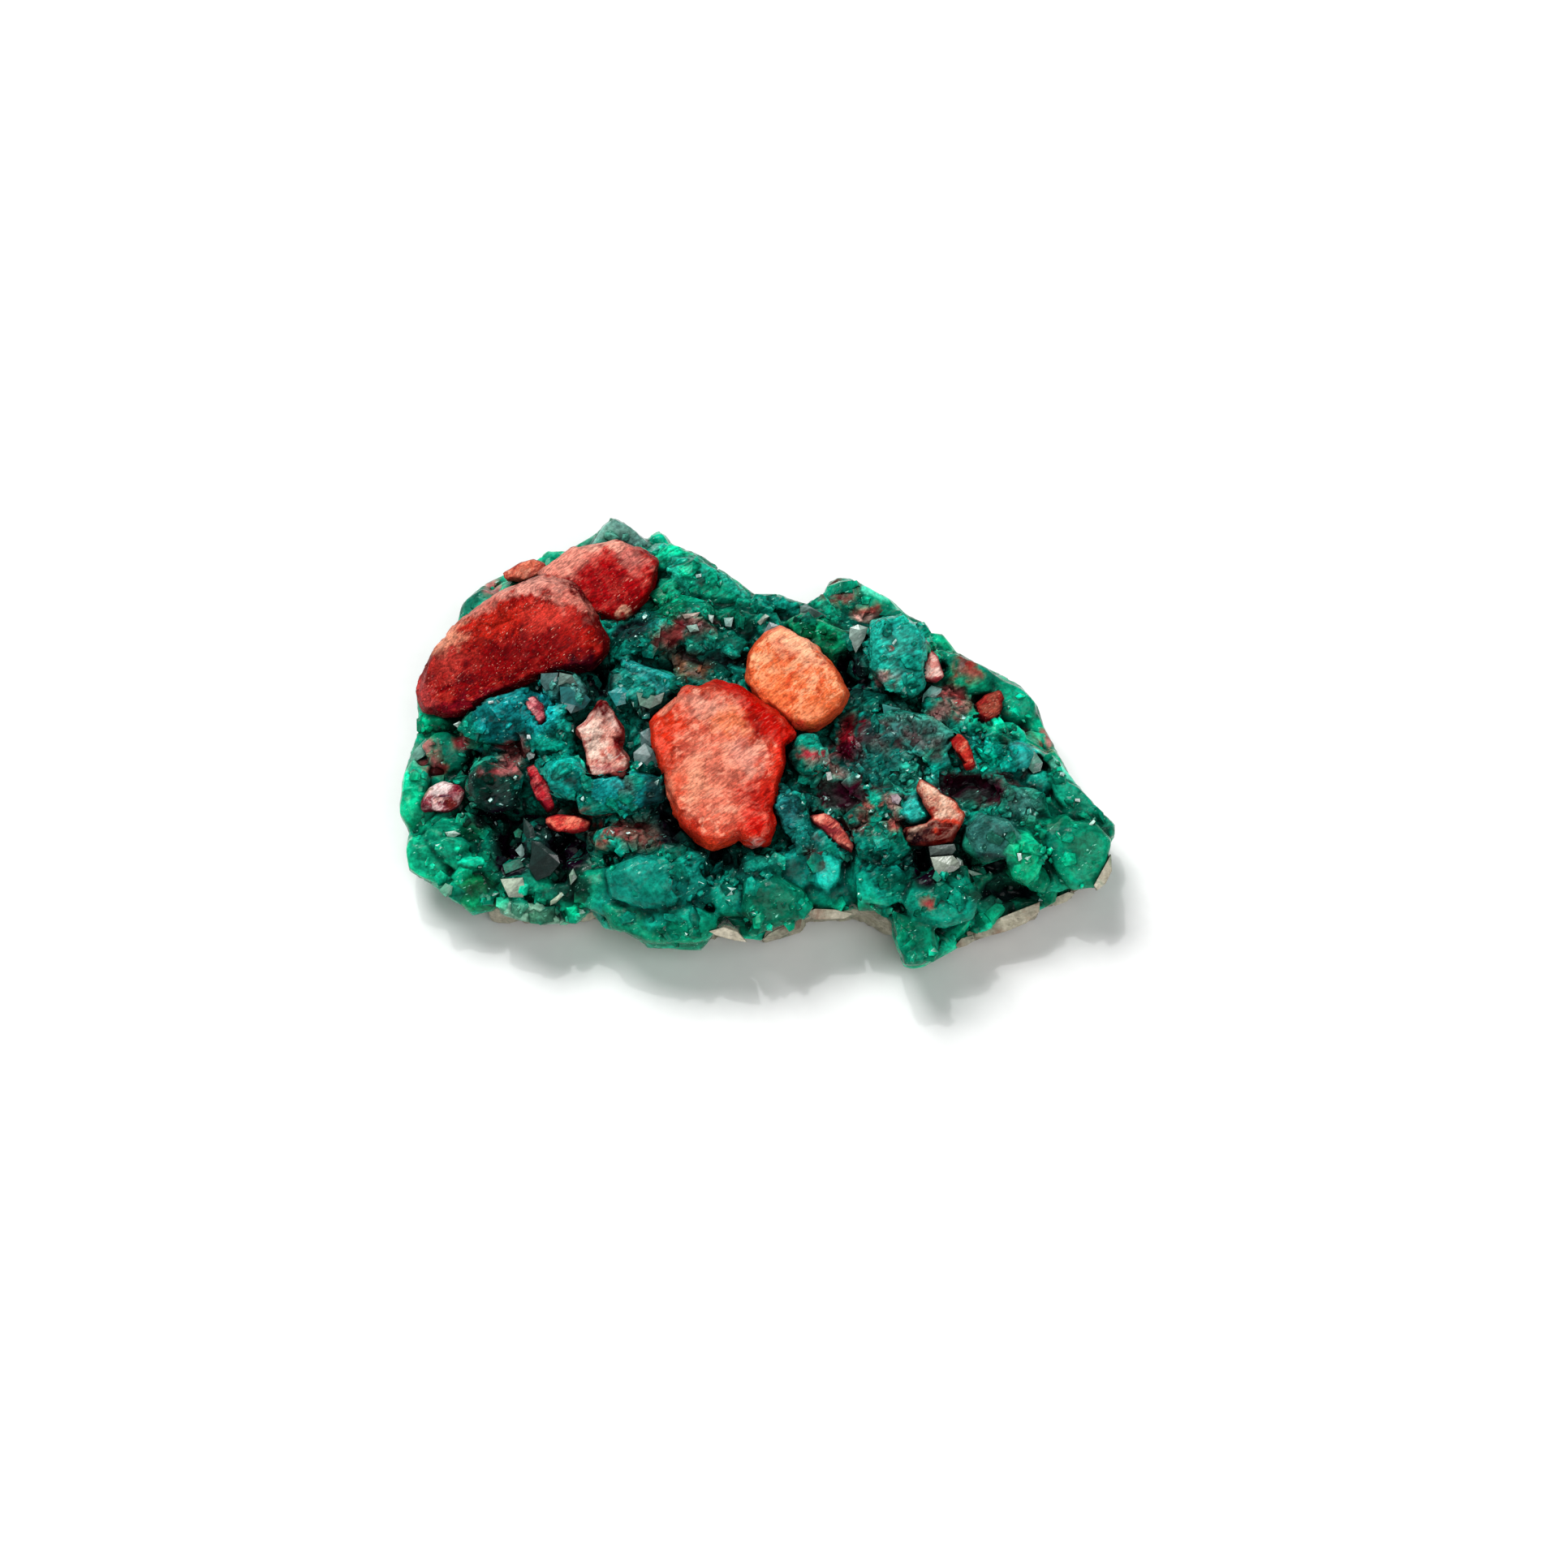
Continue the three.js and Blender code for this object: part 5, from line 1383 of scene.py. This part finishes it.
def crust_piece(blocks, bed, calcite_tree, material):
    """The skin that joins the crystals; their own faces stand a little out of it."""
    mesh = remeshed("dioptase_crust_grown", [bed, blocks.mesh("crust_blocks")], SKIN_VOXEL, SKIN_TRIANGLES)
    points = relaxed(mesh, points_of(mesh), 3, 0.4)
    normals = put_points(mesh, points)

    faces = BVHTree.FromPolygons([tuple(p) for p in blocks.points], blocks.faces)
    nearest = [faces.find_nearest(Vector(p)) for p in points]
    block = np.array(blocks.face_block)[[hit[2] for hit in nearest]]
    on_block = 1 - smooth(0.1, 0.3, np.array([hit[3] for hit in nearest]))
    inner = 1 - rim_share(points)
    uneven = 0.05 * layered(points, 0.9, 3, 13) + 0.6 * inner * facetted(points, normals, 1.1, 0.3, 0.12, 77)
    sunk = SKIN_SUNK * on_block * np.array(blocks.sharp)[block]
    points = trimmed(points + normals * ((uneven - sunk) * outer_share(normals))[:, None])

    # the calcites show wherever they stand over the crust
    x, y = displayed(points)
    level = points @ TOWARD
    for index in np.nonzero(normals @ TOWARD > 0)[0]:
        over = seen_level(calcite_tree, x[index], y[index])
        if over is not None and level[index] > over - UNDER_CALCITE:
            points[index] += TOWARD * (over - UNDER_CALCITE - level[index])
    normals = put_points(mesh, points)

    # painted shade and light: hollows and creases, how far a point lies below its smoothed surroundings, are painted
    #     # darker, and ridges that stand above them are painted lighter
    hollow_shade_depth, crease_shade_and_light = (np.einsum("ij,ij->i", relaxed(mesh, points, rounds) - points, normals) for rounds in (70, 6))

    facing = facing_share(normals)
    rim = rim_share(points)
    colour = block_tones(crust_colour(points, facing, rim), blocks, block, on_block)
    colour = mixed(colour, HOLLOW_SHADE_GREEN * 0.7, 0.85 * smooth(-0.1, 0.8, hollow_shade_depth))
    colour = mixed(colour, HOLLOW_SHADE_GREEN * 0.25, smooth(0.0, 0.07, crease_shade_and_light) * 0.65)
    colour = colour * (1 + 0.22 * smooth(0.0, 0.05, -crease_shade_and_light))[:, None]
    add_attribute(mesh, "tint", stained(colour, points, facing))
    add_attribute(mesh, "rough", 1 - rim)
    shade_smooth(mesh)
    made = object_of("dioptase_crust_grown", mesh, material)
    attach(made, "root")
    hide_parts("dioptase_crust")
    return made


def finer(points, faces, longest):
    """The same faces cut up until no edge is longer, and which face each piece was cut from."""
    made = bmesh.new()
    corners = [made.verts.new(point) for point in points]
    made.verts.index_update()
    origin = made.faces.layers.int.new("origin")
    for number, face in enumerate(faces):
        made.faces.new([corners[i] for i in face])[origin] = number
    bmesh.ops.triangulate(made, faces=made.faces)
    for _ in range(3):
        long = [edge for edge in made.edges if edge.calc_length() > longest]
        bmesh.ops.subdivide_edges(made, edges=long, cuts=1)
        bmesh.ops.triangulate(made, faces=made.faces)
    bmesh.ops.delete(made, geom=[v for v in made.verts if not v.link_faces], context="VERTS")
    made.verts.index_update()
    origin = made.faces.layers.int["origin"]
    points = np.array([v.co for v in made.verts])
    faces = [[v.index for v in face.verts] for face in made.faces]
    cut_from = np.array([face[origin] for face in made.faces])
    made.free()
    return points, faces, cut_from


def druse_piece(blocks, calcite_tree, material):
    """The crystals' sharp faces, which stand out of the skin that joins them."""
    points = np.array(blocks.points)
    block = np.array(blocks.point_block)
    face_block = np.array(blocks.face_block)
    axis = np.array(blocks.axes)
    points = points + axis[block] * np.maximum(DRUSE_ROOT - blocks.rise(points, block), 0)[:, None]
    over = [seen_level(calcite_tree, x, y) for x, y in zip(*displayed(points))]
    over = np.array([1e9 if level is None else level for level in over])
    dropped = ~np.array(blocks.sharp)
    dropped[block[(points @ TOWARD > over - 0.1) | (points[:, 2] < 0.15)]] = True
    kept = np.nonzero(~dropped[face_block])[0]

    points, faces, cut_from = finer(points, [blocks.faces[i] for i in kept], DRUSE_EDGE)
    corner_point = np.array(faces).ravel()
    corner_face = np.repeat(cut_from, 3)
    block = np.zeros(len(points), int)
    block[corner_point] = face_block[kept][corner_face]
    facing = facing_share(axis[block])
    rim = rim_share(points)
    colour = block_tones(crust_colour(points, facing, rim), blocks, block, np.ones(len(points)))
    rise = blocks.rise(points, block)
    tall = np.zeros(len(blocks.bases))
    np.maximum.at(tall, block, rise)
    height = rise / np.maximum(tall[block], 0.05)
    # painted shade and light: each crystal darker towards its base and lighter near its top
    colour = colour * (0.2 + 0.85 * smooth(-1.2, 0.4, height) + 0.25 * smooth(0.5, 1.0, height))[:, None]
    colour = stained(colour, points, facing)

    random = np.random.default_rng(SHADE_SEED)
    depth = random.uniform(0.72, 1.28, len(kept))
    glint = random.uniform(0, 1, len(kept)) < GLINT_SHARE
    small = tall[face_block[kept]] < 0.4
    corner = colour[corner_point] * depth[corner_face][:, None]
    corner = mixed(corner, GLINT, (glint & small)[corner_face] * smooth(0.3, 0.6, height[corner_point]))

    mesh = mesh_of("dioptase_druse", points, faces)
    add_attribute(mesh, "tint", np.clip(corner, 0, 1), "CORNER")
    add_attribute(mesh, "rough", 1 - rim)
    shade_smooth(mesh, False)
    made = object_of("dioptase_druse", mesh, material)
    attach(made, "root")
    return made


calcite_tree = solid_tree([piece.data for piece in calcites])
bed = crust_bed()
bed_points = points_of(bed)
REACH = np.zeros(SECTORS)
np.maximum.at(REACH, sector(bed_points), np.hypot(bed_points[:, 0], bed_points[:, 1]))
blocks = crust_blocks(bed)
DIOPTASE = dioptase_material()
crust = crust_piece(blocks, bed, calcite_tree, DIOPTASE)
strew(blocks, np.random.default_rng(FINE_SEED), solid_tree([crust.data, blocks.mesh("all_blocks")]), *FINE)
druse = druse_piece(blocks, calcite_tree, DIOPTASE)


# ---------------------------------------------------------------- clear crystals

# how far the face stands proud in mm, rise to the right and upwards in mm per px, colour, outline; the pale grey
# # colours are painted reflections and the near-white ones painted glints
CRYSTALS_AND_GLINTS = rows("""
0.7 0.02 0 #466e6c 669,831 690,830 686,848 674,852 668,841
0.8 -0.02 0.02 #708e84 692,830 707,833 714,846 700,842 690,846
0.6 -0.03 -0.02 #1c6060 692,847 714,847 730,863 722,874 706,880 694,866
0.8 0 0 #b0c8be 702,861 708,865 706,873 703,867
0.6 0 0.02 #bad0c6 560,893 568,889 574,894 567,898
0.8 0 0 #b0cac4 651,931 658,921 663,925 660,934 654,937
1 0 0 #7e9c96 637,1047 645,1039 657,1065 650,1062
0.7 0 0.02 #b0c0aa 621,1082 648,1080 651,1097 648,1104 631,1104 626,1094
1.2 0.01 0.01 #142e2a 658,1035 669,1037 690,1053 693,1063 681,1077 664,1084 655,1068 658,1051
0.9 0 0 #062e28 648,1007 660,1018 664,1035 655,1037 648,1025
0.7 0 0 #789682 704,1077 709,1069 714,1080 706,1089
0.6 0 0.03 #c0d4b8 681,1109 695,1098 698,1101 688,1111 681,1114
0.4 0 0 #60a88a 545,1096 553,1087 562,1091 560,1101 553,1104
0.6 0 0.02 #b0cec0 552,1025 563,1023 571,1027 563,1031 555,1030
0.4 0 0 #6ca492 506,936 511,924 525,910 529,922 525,931 509,940
0.4 0 0 #00a67e 699,1129 709,1117 721,1119 724,1123 712,1134 700,1134
0.9 0 0 #14a07a 635,1025 641,1020 646,1024 643,1032 637,1031
0.5 0 0 #6c9482 786,854 796,856 810,862 820,854 816,867 802,874 790,870
0.5 0 0 #0a9692 751,854 767,846 778,854 776,867 761,871
0.6 -0.01 0.01 #789692 782,928 796,916 806,924 810,936 814,944 798,950 784,948
0.6 0.01 0 #648a88 790,903 802,897 806,918 792,924
0.6 0 0.02 #98b2a4 933,767 943,757 948,760 937,771
0.9 0.01 0 #7e9898 938,786 948,767 959,771 964,775 953,779
0.5 0 0 #82b0a6 892,762 904,761 901,773 894,772
0.5 0 0 #acc6bc 873,758 880,759 878,769 874,764
0.5 0 0 #82a698 846,772 859,770 862,778 851,780
0.5 0 0.02 #b0a094 841,758 863,755 859,761 844,763
1 0 0.03 #7c9490 986,747 993,744 1007,752 1019,759 1017,766 1004,762 986,755
1.5 0 0 #98b2a8 1047,774 1057,770 1069,774 1065,787 1054,805 1046,786
0.6 0 0 #5c968c 1137,856 1147,845 1160,849 1157,858 1145,870 1135,868
0.5 0 0.02 #3c948c 1086,868 1109,874 1099,882 1088,880
1.7 0 0.02 #60706a 1142,1042 1158,1040 1173,1039 1175,1046 1171,1051 1144,1053
1.9 0 -0.01 #889284 1144,1055 1171,1053 1178,1060 1179,1067 1172,1072 1155,1076 1149,1071
1.7 -0.02 0 #6e7e74 1176,1055 1183,1059 1185,1067 1180,1069
1 0 0.02 #96b6a6 1184,1068 1208,1076 1196,1078
0.6 0 0 #149678 1150,1070 1157,1080 1153,1086 1146,1080
0.5 0 0 #d8e2dc 1017,952 1023,951 1025,960 1019,962
0.9 0 0 #c8ece0 1249,1050 1254,1050 1255,1057 1251,1060
0.9 0 0 #aae2d0 1258,1056 1267,1053 1262,1059
0.5 0 0 #548878 1262,927 1273,926 1283,940 1280,950 1271,953 1262,942
0.6 0 0 #bee6d6 1338,1015 1344,1009 1346,1012 1340,1017
0.6 0 0 #a0d8cc 1304,951 1309,952 1308,957 1303,955
0.6 0 0 #d8eee6 1322,984 1328,984 1328,988 1322,987
0.6 0 0 #b0ded4 857,708 864,707 864,711 858,712
0.7 0 0 #c4d4d0 785,946 792,939 794,941 787,948
0.5 0 0 #b0dcd2 1098,794 1103,788 1104,791 1100,796
0.5 0 0 #c8dad6 604,865 611,864 611,867 605,868
0.5 0 0 #d2e4e4 652,906 656,906 657,911 652,911
0.4 0 0 #a08890 1096,980 1104,978 1109,984 1105,991 1098,989
""")
LIGHT_FROM = (-0.6, 0.8)  # across and up: crystal faces that way are paler


def crystals_piece(crust_meshes):
    """Crystals with a low ridge of flat faces set in the crust, each where its faces show."""
    tree = solid_tree(crust_meshes)
    random = np.random.default_rng(CRYSTAL_SEED)
    points, faces, tones = [], [], []
    for proud, rise_right, rise_up, tone, outline in CRYSTALS_AND_GLINTS:
        centre = np.mean(outline, axis=0)
        level = float(np.median(seen_levels(tree, outline))) + proud * 0.6
        count = len(outline)
        size = np.ptp(np.array(outline), axis=0).mean()
        ridge = centre + random.uniform(-0.22, 0.22, 2) * size
        first = len(points)
        for sink, grow in ((0.0, 1.0), (ROOT, 1.06)):
            for corner in outline:
                rise = risen(centre, corner, rise_right, rise_up)
                points.append(view_point(*spread(centre, corner, grow), level + rise - sink))
        peak = len(points)
        points.append(view_point(*ridge, level + risen(centre, ridge, rise_right, rise_up) + 0.006 * size))
        area = sum(outline[i - 1][0] * outline[i][1] - outline[i][0] * outline[i - 1][1] for i in range(count))
        for i in range(count):
            j = (i + 1) % count
            out_x, out_y = (np.array(outline[i]) + outline[j]) / 2 - ridge
            towards = (out_x * LIGHT_FROM[0] - out_y * LIGHT_FROM[1]) / max(math.hypot(out_x, out_y), 1e-6)
            made = [[peak, first + j, first + i], [first + i, first + j, first + count + j, first + count + i]]
            faces += [face[::-1] for face in made] if area < 0 else made
            # painted light and shade: faces turned towards LIGHT_FROM are paler, the sides darker and the bottoms
            # darker still
            tones += [tone * (0.92 + 0.3 * towards + random.uniform(-0.1, 0.1))] * 3 + [tone * 0.45] * 4
        bottom = list(range(first + count, first + 2 * count))
        faces.append(bottom if area < 0 else bottom[::-1])
        tones += [tone * 0.3] * count
    mesh = mesh_of("dioptase_crystals", points, faces)
    add_attribute(mesh, "tint", np.clip(np.array(tones), 0, 1), "CORNER")
    made = object_of("dioptase_crystals", mesh, crystal_material())
    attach(made, "root")


crystals_piece([crust.data, druse.data])


# ---------------------------------------------------------------- matrix

# the broken faces of rock below the crust: rise upwards in mm per px, outline
ROCK_FACES = rows("""
0.02 1199,1148 1204,1140 1232,1129 1258,1124 1278,1110 1278,1122 1262,1136 1238,1146 1212,1153 1199,1153
0.02 991,1122 1004,1118 1028,1119 1051,1124 1040,1130 1002,1131
0 940,1155 948,1148 972,1136 988,1130 986,1142 962,1152
0 875,1145 893,1140 910,1146 921,1158 906,1156 884,1150
0.02 1293,1113 1300,1104 1314,1098 1322,1100 1312,1110 1298,1115
0 1344,1090 1352,1082 1362,1062 1365,1052 1366,1072 1358,1088 1348,1096
0.01 1175,1162 1182,1154 1196,1150 1199,1156 1188,1163 1178,1166
""")
ROCK_VOXEL = 0.3  # in mm
ROCK_TRIANGLES = 90000
ROCK_ROOT = 3.0  # how far the broken faces reach down into the rock, in mm


def rock_piece(crust_tree):
    """The modelled rock made rough, with broken faces where it shows below the crust."""
    blocks = Blocks()
    for rise_up, outline in ROCK_FACES:
        centre = np.mean(outline, axis=0)
        level = float(np.median(seen_levels(crust_tree, outline))) + 0.5
        corners = []
        for corner in outline:
            top = level + risen(centre, corner, 0, rise_up)
            corners += [view_point(*spread(centre, corner, 0.96), top), view_point(*corner, top - 0.12),
                        view_point(*corner, level - ROCK_ROOT)]
        blocks.add(corners, view_point(*centre, level), TOWARD)
    skin = remeshed("matrix_skin", [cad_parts["matrix"].data], ROCK_VOXEL, ROCK_TRIANGLES)
    points, normals = points_of(skin), normals_of(skin)
    above = smooth(0.05, 0.6, points[:, 2])
    side = 1 - smooth(0.3, 0.7, normals[:, 2])
    move = facetted(points, normals, 1.8, 0.3, 0.18, 31) + 0.08 * layered(points, 1.0, 3, 32)
    put_points(skin, points + normals * (move * above * side)[:, None])
    shade_smooth(skin)
    made = object_of("matrix_rock", joined("matrix_rock", [skin, blocks.mesh("rock_slabs")]), rock_material())
    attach(made, "root")
    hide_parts("matrix")


rock_piece(solid_tree([crust.data]))


# ---------------------------------------------------------------- stage, light and camera

# name, place and width in m, power in W
LAMPS = (("key", (-0.45, 0.5, 1.4), 0.9, 20),
         ("sparkle", (-0.2, 0.3, 1.3), 0.05, 2.4),
         ("fill", (0.35, -0.8, 1.3), 1.0, 9))
WORLD_LIGHT = 0.22
FLOOR_REACH = 3000.0  # in mm
LENS, SENSOR = 200.0, 36.0
AIM_LEVEL = 6.0  # how far towards the viewer the point lies that the camera looks at, in mm


def lamp(name, place, size, energy):
    """A round lamp turned to the specimen."""
    data = bpy.data.lights.new(name, "AREA")
    data.shape = "DISK"
    data.size = size
    data.energy = energy
    made = object_of(name, data)
    made.location = place
    made.rotation_euler = (Vector((0, 0, 0.008)) - Vector(place)).to_track_quat("-Z", "Y").to_euler()


def stage():
    """A pale floor, soft lamps and a camera that looks as the photograph does."""
    corners = [(x * FLOOR_REACH, y * FLOOR_REACH, 0) for x, y in ((-1, -1), (1, -1), (1, 1), (-1, 1))]
    n = Nodes("floor_paper")
    shade = n.ramp(n.noise(2.0, 2), 0.3, 0.7, 0.86, 0.88)
    paper = n.finish(Base_Color=n.times((1, 1, 1), shade), Roughness=0.9)
    floor = object_of("floor", mesh_of("floor", corners, [(0, 1, 2, 3)]), paper)

    world = bpy.data.worlds.new("studio")
    world.use_nodes = True
    background = world.node_tree.nodes["Background"]
    background.inputs["Color"].default_value = (1, 1, 1, 1)
    background.inputs["Strength"].default_value = WORLD_LIGHT
    bpy.context.scene.world = world

    for light in LAMPS:
        lamp(*light)

    data = bpy.data.cameras.new("camera")
    data.lens = LENS
    data.sensor_width = SENSOR
    data.clip_start = 0.01
    data.clip_end = 50
    camera = object_of("camera", data)
    distance = LENS / SENSOR * FRAME_PX / PX_PER_MM
    aim = view_point(FRAME_PX / 2, FRAME_PX / 2, AIM_LEVEL)
    camera.location = Vector((aim + TOWARD * distance) * MM)
    camera.rotation_euler = (math.radians(90) - ELEVATION, 0, 0)
    bpy.context.scene.camera = camera
    bpy.context.scene.view_settings.view_transform = "Standard"


stage()
